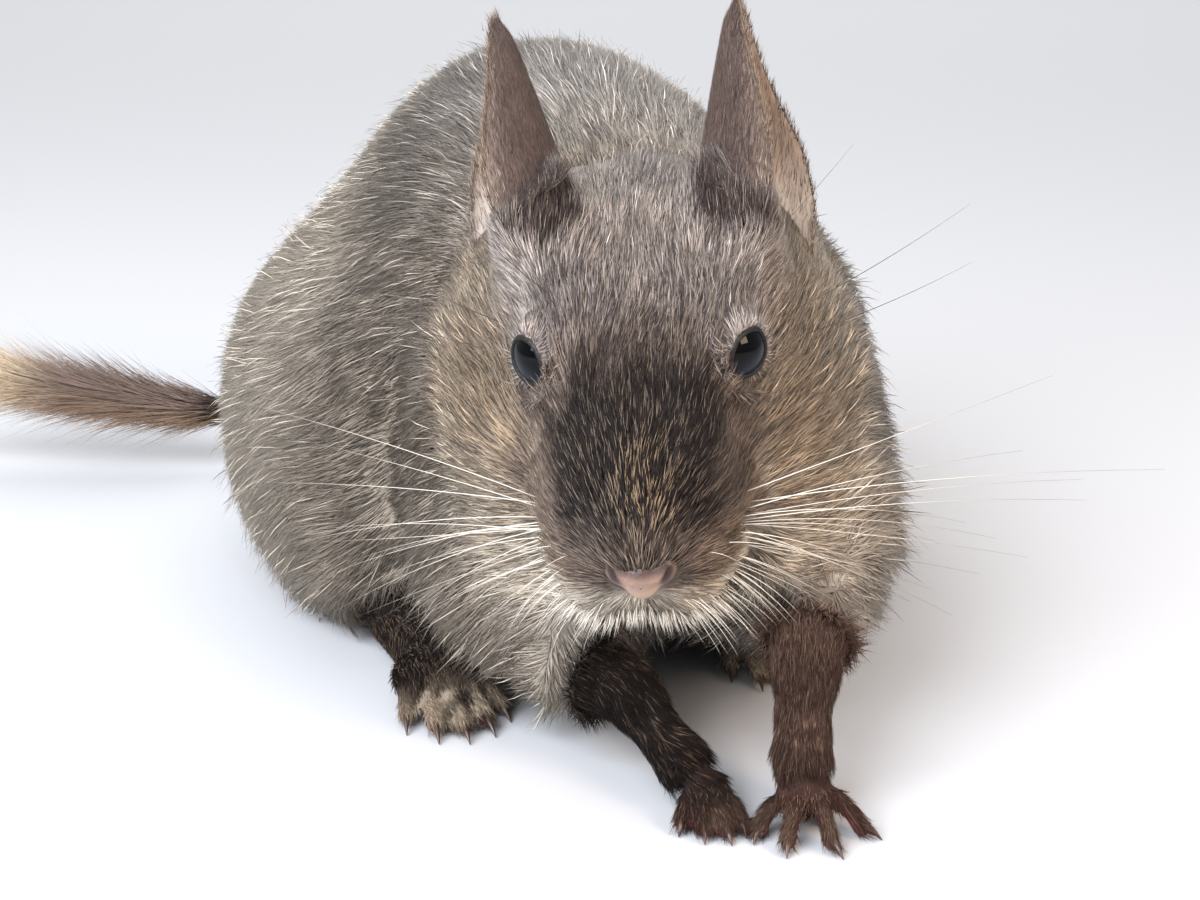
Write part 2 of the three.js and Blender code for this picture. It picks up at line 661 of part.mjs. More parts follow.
// Claws, each bent down from the end of its finger or toe
function claw(tip, point, fingertip) {
  const out = point.clone().sub(tip).normalize();
  const start = tip.clone().addScaledVector(out, fingertip + gap * 0.7);
  const bend = start.clone().lerp(point, 0.55).add(vec(0, 0, 0.35));
  const curve = new THREE.QuadraticBezierCurve3(start, bend, point);
  return tube(curve, 0, 1, (t) => (clawThickness / 2) * (1 - 0.8 * t), 2, 5);
}
for (const [side] of sides) {
  fingers[side].forEach(([, tip, point], i) =>
    add(`claw_fore_${side}_${i + 1}`, claw(vec(...tip), vec(...point), fingerRadius), looks.claw),
  );
  toeTips.forEach((tip, i) => {
    const frame = footFrame(side);
    const point = clawPoint(tip).applyMatrix4(frame);
    add(`claw_hind_${side}_${i + 1}`, claw(tip.clone().applyMatrix4(frame), point, toeRadius), looks.claw);
  });
}

// Tail: a bare length at the root, a second one, and the end with its brush
const tailCurve = new THREE.CatmullRomCurve3([
  vec(-12, 108, 22),
  vec(-21, 123, 16),
  vec(-37, 125, 11),
  vec(-58, 121, 9.5),
  vec(-78, 121, 12),
  vec(-94, 122, 14.3),
  vec(-106, 122.5, 15.8),
]);
const tailRadius = (t) => (tailThickness / 2) * (1 - 0.42 * t);
const tailBed = surface(
  grown(coatField, gap),
  world,
  gridLines(-34, 6, 2),
  gridLines(96, 132, 2),
  gridLines(4, 36, 2),
);
const tailCut = 0.36;
const tailGap = gap / tailCurve.getLength();
add("tail_base", tube(tailCurve, 0, tailCut, tailRadius, 8, 12).subtract(tailBed), looks.tail);
add("tail_middle", tube(tailCurve, tailCut + tailGap, brushStart, tailRadius, 5, 12), looks.tail);

// The brush swells from the tail's own thickness, is fullest near its middle and thins out to the tip
const brushRadius = (t) => {
  const along = Math.min(1, Math.max(0, (t - brushStart) / (1 - brushStart)));
  return tailRadius(t) + (brushThickness / 2 - tailRadius(t)) * Math.sin(Math.PI * along ** 0.72);
};
function lock(i) {
  const share = (i + 0.5) / brushLocks;
  const from = brushStart + 0.015 + (0.95 - brushStart) * share;
  const reach = 0.15 + 0.03 * Math.sin(i * 2.1);
  const angle = i * 2.4;
  const steps = 3;
  const rings = [];
  for (let j = 0; j <= steps; j++) {
    const along = j / steps;
    const t = from + reach * along;
    const inside = Math.min(t, 1);
    const forward = tailCurve.getTangentAt(inside);
    const beyond = (t - inside) * tailCurve.getLength();
    const middle = tailCurve.getPointAt(inside).addScaledVector(forward, beyond);
    const across = forward.clone().cross(vec(0, 0, 1)).normalize();
    const up = across.clone().cross(forward);
    const swirl = angle + along * 0.3;
    const outwards = across.clone().multiplyScalar(Math.cos(swirl)).addScaledVector(up, Math.sin(swirl));
    const around = outwards.clone().cross(forward);
    const lift = brushRadius(inside) * (0.4 + 0.65 * Math.sin(along * 1.7)) * (1 - 3 * (t - inside));
    const width = 0.15 + 2.2 * Math.min(1, along + 0.45) * (1 - along ** 2.5) * (1 - 0.35 * share);
    const centre = middle.clone().addScaledVector(outwards, lift);
    rings.push(
      [0, 1, 2, 3].map((k) =>
        centre
          .clone()
          .addScaledVector(around, Math.cos((k * Math.PI) / 2) * width)
          .addScaledVector(outwards, Math.sin((k * Math.PI) / 2) * (0.2 + 0.3 * width)),
      ),
    );
  }
  return skinRings(rings);
}
let brush = tube(tailCurve, brushStart + tailGap, 1, (t) => brushRadius(t) * 0.82, 8, 10);
for (let i = 0; i < brushLocks; i++) brush = brush.add(lock(i));
add("tail_brush", brush.subtract(tube(tailCurve, 0, brushStart + tailGap, () => 9, 12, 12)), looks.tail);

// Shift the whole so that its box stands on the origin
const box = new THREE.Box3();
for (const { shape } of Object.values(made)) {
  const { min, max } = shape.boundingBox();
  box.union(new THREE.Box3(vec(...min), vec(...max)));
}
const shift = vec((box.min.x + box.max.x) / 2, (box.min.y + box.max.y) / 2, box.min.z).negate();
for (const [name, { shape, look }] of Object.entries(made)) {
  const geometry = geometryOf(shape.translate(shift.toArray()));
  const node = new THREE.Mesh(geometry, new THREE.MeshStandardMaterial(look));
  node.name = name;
  group.add(node);
}

export default group;
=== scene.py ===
# A life-size degu in a hunched crouch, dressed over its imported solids: one skin, a coat of solid
# tufts that follow its lie, wet eyes with their lids, thin ears, whiskers and claws.
import bpy
import math
import numpy as np
from mathutils import Matrix, Vector


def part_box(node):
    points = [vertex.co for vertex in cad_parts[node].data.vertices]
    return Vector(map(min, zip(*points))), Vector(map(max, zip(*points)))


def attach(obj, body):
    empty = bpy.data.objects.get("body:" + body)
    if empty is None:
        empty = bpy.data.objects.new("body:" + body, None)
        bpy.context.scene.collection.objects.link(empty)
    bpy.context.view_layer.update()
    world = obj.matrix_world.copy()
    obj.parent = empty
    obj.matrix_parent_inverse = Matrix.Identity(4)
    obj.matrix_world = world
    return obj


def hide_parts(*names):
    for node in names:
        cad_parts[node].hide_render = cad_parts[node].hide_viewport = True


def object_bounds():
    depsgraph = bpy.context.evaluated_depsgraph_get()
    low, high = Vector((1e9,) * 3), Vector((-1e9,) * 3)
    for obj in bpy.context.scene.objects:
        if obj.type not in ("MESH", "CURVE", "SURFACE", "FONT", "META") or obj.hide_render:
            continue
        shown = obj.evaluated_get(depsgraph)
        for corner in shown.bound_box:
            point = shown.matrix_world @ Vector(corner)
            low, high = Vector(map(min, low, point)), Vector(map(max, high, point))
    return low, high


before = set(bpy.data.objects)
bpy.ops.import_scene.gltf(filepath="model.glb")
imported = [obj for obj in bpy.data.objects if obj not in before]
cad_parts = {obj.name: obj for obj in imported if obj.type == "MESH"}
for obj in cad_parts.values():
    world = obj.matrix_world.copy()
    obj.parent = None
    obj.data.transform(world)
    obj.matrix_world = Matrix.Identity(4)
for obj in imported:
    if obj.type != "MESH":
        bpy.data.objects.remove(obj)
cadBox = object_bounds()
mm = 0.001
rng = np.random.default_rng(7)

# Places are the animal's own millimetres. The head and the body each have a frame inside them,
# with x to the animal's left, y to its back and z up.
pose = {
    "headPitch": 32,
    "headRoll": -4,
    "headTurn": -3,
    "headPlace": (4, 18.8, 45.2),  # between the eyes
    "bodyTurn": 15,
    "bodyPlace": (-6, 84, 0),  # on the floor under the middle of the back
}
eye = {
    "radius": 4.1,
    "back": 1.2,  # from the head's middle to the eyeballs' centres
    "axis": (0.68, -0.62, 0.39),
    "long": 2.45,  # half of the opening's length
    "upper": 1.9,  # its height over the line between its corners
    "lower": 2.3,  # and under it
    "dark": "030304",
    "paintedReflection": "1b222c",  # painted reflection of the pale floor, low down towards the nose
}
lids = {  # the roll's section, out from the edge of the opening and up from the ball
    "outwards": (0.02, -0.03, 0.02, 0.13, 0.28, 0.45, 0.62),
    "lifts": (-0.2, 0.03, 0.15, 0.22, 0.22, 0.14, -0.1),
    "edge": "0b0808",
    "skin": "2c2420",
}


hands = {"left": 1, "right": -1}  # the sign of x on each side


def turned(x, y, z):
    turns = [Matrix.Rotation(math.radians(a), 3, axis) for a, axis in ((z, "Z"), (x, "X"), (y, "Y"))]
    return np.array(turns[0] @ turns[1] @ turns[2])


headTurn = turned(pose["headPitch"], pose["headRoll"], pose["headTurn"])
bodyTurn = turned(0, 0, pose["bodyTurn"])
eyePlaces = {}
for side in hands:
    eyePlaces[side] = np.array(sum(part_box("eye_" + side), start=Vector())) / 2 / mm
headPlace = sum(eyePlaces.values()) / 2 - headTurn @ (0, eye["back"], 0)
origin = headPlace - pose["headPlace"]  # the frame's corner for the animal's own millimetres


def place(*point):
    return np.array(point, float) + origin


def above(height):
    return np.array([0, 0, height])


def onHead(*point):
    return headPlace + headTurn @ np.array(point, float)


def onHeadAll(points):
    return headPlace + points @ headTurn.T


def headSpace(points):
    return (points - headPlace) @ headTurn


def onBody(*point):
    return place(*pose["bodyPlace"]) + bodyTurn @ np.array(point, float)


def bodySpace(points):
    return (points - place(*pose["bodyPlace"])) @ bodyTurn


# The camera looks down on the animal from in front
view = {"lens": 60, "sensor": 36, "nearest": 0.01, "place": (0, -183, 98.8), "down": 17.5}
camera = bpy.data.objects.new("camera", bpy.data.cameras.new("camera"))
camera.data.lens = view["lens"]
camera.data.sensor_width = view["sensor"]
camera.data.clip_start = view["nearest"]
camera.location = place(*view["place"]) * mm
camera.rotation_euler = (math.radians(90 - view["down"]), 0, 0)
bpy.context.scene.collection.objects.link(camera)
bpy.context.scene.camera = camera
print("camera placed")


# Sums that every piece uses
def ease(low, high, value):
    t = np.clip((value - low) / (high - low), 0, 1)
    return t * t * (3 - 2 * t)


def unit(vectors):
    return vectors / np.maximum(np.linalg.norm(vectors, axis=-1, keepdims=True), 1e-9)


def dot(a, b):
    return np.sum(a * b, axis=-1, keepdims=True)


def laidOn(normals, vectors):
    return unit(vectors - dot(vectors, normals) * normals)


def mix(a, b, share):
    share = np.asarray(share)
    if share.ndim and 3 in np.shape(a)[-1:] + np.shape(b)[-1:]:
        share = share[..., None]
    return a + (np.asarray(b) - a) * share


def ripple(points, size, seed):
    waves = np.random.default_rng(seed)  # a smooth unevenness of about that size, from -1 to 1
    total = np.zeros(len(points))
    for _ in range(7):
        total += np.sin(points @ waves.normal(size=3) * 1.7 / size + waves.uniform(0, 6.3))
    return total / 3.5


def fromLine(points, start, end):
    along = end - start
    t = np.clip((points - start) @ along / (along @ along), 0, 1)
    return np.linalg.norm(points - start - t[:, None] * along, axis=1), t


def fromPath(points, path):
    away, ahead, share = None, None, None  # distance to the path, its direction and share there
    for i, (start, end) in enumerate(zip(path[:-1], path[1:])):
        here, t = fromLine(points, start, end)
        direction = np.broadcast_to(unit(end - start), points.shape)
        part = (i + t) / (len(path) - 1)
        if away is None:
            away, ahead, share = here, direction, part
            continue
        nearer = here < away
        ahead = np.where(nearer[:, None], direction, ahead)
        share = np.where(nearer, part, share)
        away = np.minimum(away, here)
    return away, ahead, share


def linear(colour):
    channels = np.array([int(colour[i : i + 2], 16) for i in (0, 2, 4)]) / 255
    return np.where(channels <= 0.04045, channels / 12.92, ((channels + 0.055) / 1.055) ** 2.4)


# Meshes
def makePiece(name, points, faces, colours=None, patches=None, smooth=True):
    faces = np.asarray(faces, np.int32)
    mesh = bpy.data.meshes.new(name)
    mesh.vertices.add(len(points))
    mesh.vertices.foreach_set("co", (points * mm).astype(np.float32).ravel())
    mesh.loops.add(faces.size)
    mesh.loops.foreach_set("vertex_index", faces.ravel())
    mesh.polygons.add(len(faces))
    mesh.polygons.foreach_set("loop_start", np.arange(0, faces.size, faces.shape[1], dtype=np.int32))
    mesh.update(calc_edges=True)
    mesh.polygons.foreach_set("use_smooth", np.full(len(faces), smooth))
    if colours is not None:
        layer = mesh.color_attributes.new("Coat", "FLOAT_COLOR", "POINT")
        rgba = np.concatenate([np.clip(colours, 0, 1), np.ones((len(points), 1))], 1)
        layer.data.foreach_set("color", rgba.astype(np.float32).ravel())
    if patches is not None:
        layer = mesh.uv_layers.new(name="OFBake")
        layer.data.foreach_set("uv", patches[faces.ravel()].astype(np.float32).ravel())
    piece = bpy.data.objects.new(name, mesh)
    bpy.context.scene.collection.objects.link(piece)
    return piece


def dress(piece, material, slot, *stoodFor):
    piece.data.materials.clear()
    piece.data.materials.append(material)
    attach(piece, "root")
    if stoodFor:
        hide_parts(*stoodFor)


def faceNormals(points, triangles):
    a, b, c = (points[triangles[:, i]] for i in range(3))
    return np.cross(b - a, c - a)


def facing(points, quads, outward):
    against = (faceNormals(points, quads[:, :3]) * outward[quads[:, 0]]).sum() < 0
    return quads[:, ::-1] if against else quads


def pointNormals(points, triangles):
    total = np.zeros_like(points)
    across = faceNormals(points, triangles)
    for corner in range(3):
        for axis in range(3):
            total[:, axis] += np.bincount(triangles[:, corner], across[:, axis], len(points))
    return unit(total)


def meshOf(piece):
    mesh = piece.evaluated_get(bpy.context.evaluated_depsgraph_get()).to_mesh()
    points = np.empty(len(mesh.vertices) * 3, np.float32)
    mesh.vertices.foreach_get("co", points)
    mesh.calc_loop_triangles()
    triangles = np.empty(len(mesh.loop_triangles) * 3, np.int32)
    mesh.loop_triangles.foreach_get("vertices", triangles)
    points, index = np.unique(np.round(points.reshape(-1, 3) / mm, 4), axis=0, return_inverse=True)
    triangles = index.reshape(-1)[triangles].reshape(-1, 3)
    return points.astype(float), triangles


def grid(rows, columns, wrap=False):
    j, i = np.mgrid[0 : rows - 1, 0 : columns - (0 if wrap else 1)]
    a, b = j * columns + i, j * columns + (i + 1) % columns
    return np.stack([a, b, b + columns, a + columns], -1).reshape(-1, 4)


def tubeAlong(path, radii, sides):
    ahead = unit(np.gradient(path, axis=0))
    across = unit(np.cross(ahead, (0.13, 0.2, 1)))
    up = np.cross(across, ahead)
    angle = np.linspace(0, 2 * np.pi, sides, endpoint=False)
    ring = across[:, None] * np.cos(angle)[:, None] + up[:, None] * np.sin(angle)[:, None]
    points = (path[:, None] + ring * np.asarray(radii)[:, None, None]).reshape(-1, 3)
    ends = [np.arange(sides)[::-1], len(points) - sides + np.arange(sides)]
    caps = [[end[0], end[i], end[i + 1], end[i + 1]] for end in ends for i in range(1, sides - 1)]
    quads = grid(len(path), sides, wrap=True)
    triangles = np.concatenate([quads[:, [0, 1, 2]], quads[:, [0, 2, 3]], np.array(caps)[:, :3]])
    return points, triangles


def smoothPath(corners, count):
    corners = np.asarray(corners, float)  # a Catmull-Rom curve with even steps
    ends = np.concatenate([[2 * corners[0] - corners[1]], corners, [2 * corners[-1] - corners[-2]]])
    fine = []
    for a, b, c, d in zip(ends[:-3], ends[1:-2], ends[2:-1], ends[3:]):
        t = np.linspace(0, 1, 24, endpoint=False)[:, None]
        square, cube = 2 * a - 5 * b + 4 * c - d, 3 * b - a - 3 * c + d
        fine.append(0.5 * (2 * b + (c - a) * t + square * t**2 + cube * t**3))
    fine = np.concatenate([*fine, corners[-1:]])
    length = np.concatenate([[0], np.cumsum(np.linalg.norm(np.diff(fine, axis=0), axis=1))])
    even = np.linspace(0, length[-1], count)
    return np.stack([np.interp(even, length, fine[:, axis]) for axis in range(3)], 1)


# Limbs and tail as lines that the coat follows, in the animal's own millimetres. A digit runs from
# its knuckle to its tip and on to the point of its claw.
limbs = {
    "foreLeft": [(23, 19, 18), (21.8, 11, 14.5), (20.9, 5.2, 5.5), (21.3, 3.4, 2.6), (21.6, -3, 0.8)],
    "foreRight": [(-3.5, 22.5, 10), (2.6, 15.5, 9.4), (8.8, 7, 4.4), (11, 4.9, 2.6), (11, -1, 0.8)],
    "hindLeft": [(12, 76, 4), (20, 46, 3.4), (22.2, 37, 1.2)],
    "hindRight": [(-29, 58, 4), (-18.5, 32, 3.4), (-15.4, 23.4, 1.2)],
}
limbs = {name: [place(*corner) for corner in corners] for name, corners in limbs.items()}
fingers = {
    "foreLeft": [
        [(18.4, 2.4, 3.2), (16.2, -0.8, 1), (15.5, -2.6, 0.3)],
        [(20, 0.8, 3.2), (18.9, -3.2, 1), (18.6, -5.4, 0.3)],
        [(22.2, 0.6, 3.2), (23.2, -3.4, 1), (24.2, -5.6, 0.3)],
        [(23.8, 2.2, 3.2), (26.6, -0.6, 1), (28.6, -1.6, 0.3)],
    ],
    "foreRight": [
        [(9.3, 3.4, 2.9), (8.4, 0.9, 1), (8, -1, 0.3)],
        [(10.6, 2.7, 2.9), (10.5, -0.6, 1), (10.6, -2.6, 0.3)],
        [(11.9, 2.6, 2.9), (12.7, -0.8, 1), (13.3, -2.8, 0.3)],
        [(13, 3.3, 2.9), (14.3, 0.6, 1), (14.9, -1.3, 0.3)],
    ],
}
# the toes' tips, to the left and back from the ball of the foot
toeTips = [(-5.6, -4.5), (-3.1, -8), (-0.2, -9.2), (2.7, -8.4), (5.2, -5.2)]
hindTurns = {"hindLeft": 14, "hindRight": 20}


def onFoot(name, *point):
    return limbs[name][1] + turned(0, 0, hindTurns[name]) @ np.array(point, float)


def toePath(name, x, y):
    knuckle, tip = onFoot(name, 0.72 * x, 0.1 * y + 1.5, 0.2), onFoot(name, x, y, -2.1)
    return [knuckle, tip, onFoot(name, 1.12 * x, y - 3.1, -3.1)]


digits = {}
for name, paths in fingers.items():
    digits[name] = [[place(*corner) for corner in path] for path in paths]
for name in hindTurns:
    digits[name] = [toePath(name, x, y) for x, y in toeTips]
digitSizes = {"fore": (1.6, 1.2), "hind": (1.9, 1.35)}  # the digits' radii at knuckle and tip
tail = {
    "corners": [
        (-12, 108, 22),
        (-21, 123, 16),
        (-37, 125, 11),
        (-58, 121, 9.5),
        (-78, 121, 12),
        (-94, 122, 14.3),
        (-104, 122.4, 15.6),
    ],
    "coreRadius": 1.7,
    "brushStart": 0.56,
    "brushTufts": 9000,
    "brushLength": 14,
    "brushSpread": 5.6,
    "brushWidth": 0.17,  # of each hair
}
tailPath = smoothPath([place(*corner) for corner in tail["corners"]], 61)

# Ears: thin cups open to the side, furred outside, paler and nearly bare within. Each row gives its
# height and, outwards from the head, its fold, front edge and back edge, then how far forward the
# front edge stands and how far back the back edge does.
ear = {
    "rows": [
        (0, 5.5, 6.5, 7.5, 2, 2),
        (3, 1.6, 4.6, 10.4, 4.6, 4.4),
        (9, -0.6, 6.2, 12, 7.2, 6.4),
        (16, -0.1, 7.3, 10.8, 7.4, 6.8),
        (23, 1.6, 6.6, 8.2, 6, 5.4),
        (29, 3.1, 5.7, 6.6, 3.8, 3.6),
        (32, 4.1, 5.2, 5.6, 2, 1.9),
        (33, 4.6, 5, 5.1, 0.8, 0.8),
    ],
    "place": (7.6, 13, -6),
    "tilt": -46,
    "lean": -4,
    "thickness": 0.8,
    "rim": 0.3,
    "tuftsOutside": 18,
    "tuftsInside": 8,
    "tuftLength": 1.7,
    "rimTufts": 900,
}
earShades = {
    "outside": linear("584842"),
    "inside": linear("907c6e"),
    "paintedCanalShade": linear("5e4239"),
    "lobe": linear("ddd3ca"),
    "rim": linear("8c7b6c"),
}


def earSheet(s, rows=61, columns=41):
    table = np.array(ear["rows"], float)
    heights = np.linspace(0, 33, rows)
    sizes = np.stack([np.interp(heights, table[:, 0], table[:, c]) for c in range(1, 6)], 1)
    padded = np.concatenate([2 * sizes[:1] - sizes[4:0:-1], sizes, 2 * sizes[-1:] - sizes[-2:-6:-1]])
    window = np.array([1, 2, 3, 4, 5, 4, 3, 2, 1]) / 25
    sizes = np.stack([np.convolve(padded[:, c], window, "valid") for c in range(5)], 1)
    fold, front, back, forward, rear = (sizes[:, None, c] for c in range(5))
    u = np.linspace(-1, 1, columns)[None]
    bend = np.abs(u)
    wave = 0.25 * np.sin(u * 9 + heights[:, None] * 0.3) * bend
    out = fold + (np.where(u < 0, front, back) - fold) * bend**1.6 + wave
    depth = np.sin(bend * np.pi / 2) * np.where(u < 0, -forward, rear)
    local = np.stack([s * out, depth, np.broadcast_to(heights[:, None], out.shape)], -1)
    return onHeadAll((s * ear["place"][0], *ear["place"][1:]) + local @ earTurn(s).T)


def earTurn(s):
    return turned(ear["tilt"], ear["lean"] + s * 1.5, 0)


# Coat: each zone's hair length, the depth of its coat over the skin and the hair's width, in
# millimetres, and its tufts to a square millimetre
zones = {
    "body": (6.2, 1.4, 0.2, 8.8),
    "belly": (5.0, 1.1, 0.22, 5.0),
    "cheek": (4.2, 1.0, 0.2, 11.5),
    "crown": (3.3, 0.75, 0.19, 14.0),
    "nape": (5.0, 2.0, 0.21, 11.0),
    "mound": (3.0, 1.2, 0.14, 25.0),
    "muzzle": (2.4, 0.6, 0.18, 18.0),
    "eyelid": (1.9, 0.35, 0.14, 22.0),
    "leg": (2.4, 0.45, 0.15, 19.0),
    "paw": (1.8, 0.3, 0.13, 21.0),
    "tail": (4.0, 0.8, 0.18, 16.0),
}
zones = {name: dict(zip(("length", "depth", "width", "count"), row)) for name, row in zones.items()}

# Its colours: grey-brown ticked with dark and pale, a dark muzzle with golden ticks, tan cheeks,
# pale belly and lips, dark legs, tan hair on reddish digits
shades = {
    "back": "968e88",
    "backFront": "bfb7b1",
    "flank": "877c70",
    "belly": "d2c6b6",
    "darkTick": "1f1a19",
    "paleTick": "bdb0a1",
    "tanTick": "9c8a78",
    "goldTick": "b59c7a",
    "crown": "beb1aa",
    "brow": "8b7f7b",
    "muzzle": "2b2220",
    "muzzleSide": "8a786c",
    "cheek": "ab947b",
    "jowl": "c6b7a4",
    "eyeRing": "a89d92",
    "lips": "d6c9b8",
    "earPatch": "564945",
    "leg": "170e0b",
    "frontLeg": "523b32",
    "paw": "442a22",
    "digit": "8b735f",
    "pads": "5a2a2c",
    "foot": "b7a690",
    "tailTop": "76645a",
    "tailUnder": "8f745c",
    "tailTip": "e3ccab",
}
shades = {name: linear(colour) for name, colour in shades.items()}


def eyeAxes(s):
    axis = unit(np.array([s, 1, 1]) * eye["axis"])
    along = unit(np.array([0, 1, 0]) - axis[1] * axis)
    return headTurn @ np.stack([along, np.cross(axis, along), axis], 1)


def rimAt(x, y, s):
    up = s * y > 0  # how far the almond opening reaches from its middle towards x, y
    high, sharp = np.where(up, eye["upper"], eye["lower"]), np.where(up, 1.75, 1.9)
    away = np.hypot(x, y) + 1e-9
    return (np.abs(x / away / eye["long"]) ** sharp + np.abs(y / away / high) ** sharp) ** (-1 / sharp)


earPoints = np.concatenate([earSheet(s)[4:32:3, ::4].reshape(-1, 3) for s in (1, -1)])


def nearEar(points):
    gap = np.full(len(points), 9.0)
    close = np.flatnonzero(np.abs(headSpace(points) - (0, 13, 2)).max(1) < 24)
    for start in range(0, len(close), 20000):
        chosen = close[start : start + 20000]
        away = np.linalg.norm(points[chosen, None] - earPoints[None], axis=2)
        gap[chosen] = np.minimum(9, away.min(1))
    return gap


# How much each place belongs to each part of the animal, from 0 to 1
def areas(points):
    head, body = headSpace(points), bodySpace(points)
    side = np.abs(head[:, 0])
    reach = np.linalg.norm((head - (0, 4, -7)) / (24, 31, 22), axis=1)
    found = {"head": ease(1.22, 0.92, reach)}
    found["muzzle"] = found["head"] * ease(-1, -11, head[:, 1] - 0.35 * (head[:, 2] + 8))
    found["crown"] = found["head"] * ease(-9, -1, head[:, 2] - 0.25 * side) * ease(38, 26, head[:, 1])
    found["nape"] = ease(1.4, 1.05, reach) * ease(15, 23, head[:, 1]) * ease(-6, 0, head[:, 2])
    mounds = [(head - (s * 10.2, 14.5, 7.5)) / (4.4, 5.0, 7.2) for s in (1, -1)]
    toMound = np.min([np.linalg.norm(mound, axis=1) for mound in mounds], axis=0)
    found["mound"] = ease(1.25, 0.8, toMound)
    found["earFront"] = found["head"] * ease(6.5, 3, nearEar(points)) * (1 - found["mound"])
    found["lips"] = found["head"] * ease(-9.5, -12, head[:, 2]) * ease(-10, -14.5, head[:, 1])
    found["belly"] = (1 - found["head"]) * ease(14, 4, body[:, 2]) * ease(26, 16, np.abs(body[:, 0]))
    fromBelly = np.linalg.norm(points - place(8, 60, 20), axis=1)
    found["throat"] = ease(-12, -22, head[:, 2]) * ease(38, 50, fromBelly)
    nearest = np.full(len(points), 9.0)
    found["fromEye"] = np.zeros_like(points)
    for eyeSide, s in hands.items():
        x, y, z = ((points - eyePlaces[eyeSide]) @ eyeAxes(s)).T
        rim = np.where(z > -1, np.hypot(x, y) / rimAt(x, y, s), 9)
        outwards = unit(np.stack([x, y, 0 * z], 1)) @ eyeAxes(s).T
        found["fromEye"] = np.where((rim < nearest)[:, None], outwards, found["fromEye"])
        nearest = np.minimum(nearest, rim)
    found["toEye"] = nearest  # 1 on the edge of the lids
    found["eyelid"] = ease(1.9, 1.25, nearest)
    for name, path in limbs.items():
        away, found[name + "Ahead"], share = fromPath(points, path)
        thick = {"foreLeft": 7.5, "foreRight": 8.2}.get(name, 8)
        start, end = (0.56, 0.72) if name.startswith("fore") else (0.5, 0.8)
        found[name] = ease(thick, thick - 2, away) * ease(0.0, 0.17, share)
        found[name + "Toes"] = found[name] * ease(start, end, share)
    away, found["tailAhead"], found["tailShare"] = fromPath(points, tailPath[::4])
    found["tail"] = ease(4.5, 3, away) * ease(0.1, 0.16, found["tailShare"])
    found["legs"] = np.max([found[name] for name in limbs], axis=0)
    found["toes"] = np.max([found[name + "Toes"] for name in limbs], axis=0)
    found["digit"] = np.zeros(len(points))
    found["digitAhead"] = np.zeros_like(points)
    low = np.flatnonzero(found["toes"] > 0.01)
    nearest = np.full(len(low), 9.0)
    for path in sum(digits.values(), []):
        away, ahead, share = fromPath(points[low], path)
        nearer = away < nearest
        found["digitAhead"][low[nearer]] = ahead[nearer]
        found["digit"][low[nearer]] = (ease(3.2, 1.8, away) * ease(0, 0.3, share))[nearer]
        nearest = np.minimum(nearest, away)
    return found


def coatAt(found):
    order = [("belly", "belly"), ("cheek", "head"), ("crown", "crown"), ("nape", "nape")]
    order += [("mound", "mound"), ("muzzle", "muzzle"), ("eyelid", "earFront"), ("eyelid", "eyelid")]
    order += [("leg", "legs"), ("paw", "toes"), ("tail", "tail")]
    coatSizes = {}
    for size, start in zones["body"].items():
        value = np.full(len(found["head"]), float(start))
        for zone, share in order:
            value = mix(value, zones[zone][size], found[share])
        coatSizes[size] = value
    return coatSizes


# The dark of the muzzle: wide over the bridge, narrower to the nose and between the eyes. Up is
# measured up the slope of the face.
muzzleDark = {"up": (-24, -20.5, -17, -10, -4, 1, 8, 12), "half": (3, 5.2, 7.8, 9, 8.2, 6.4, 5, 4)}


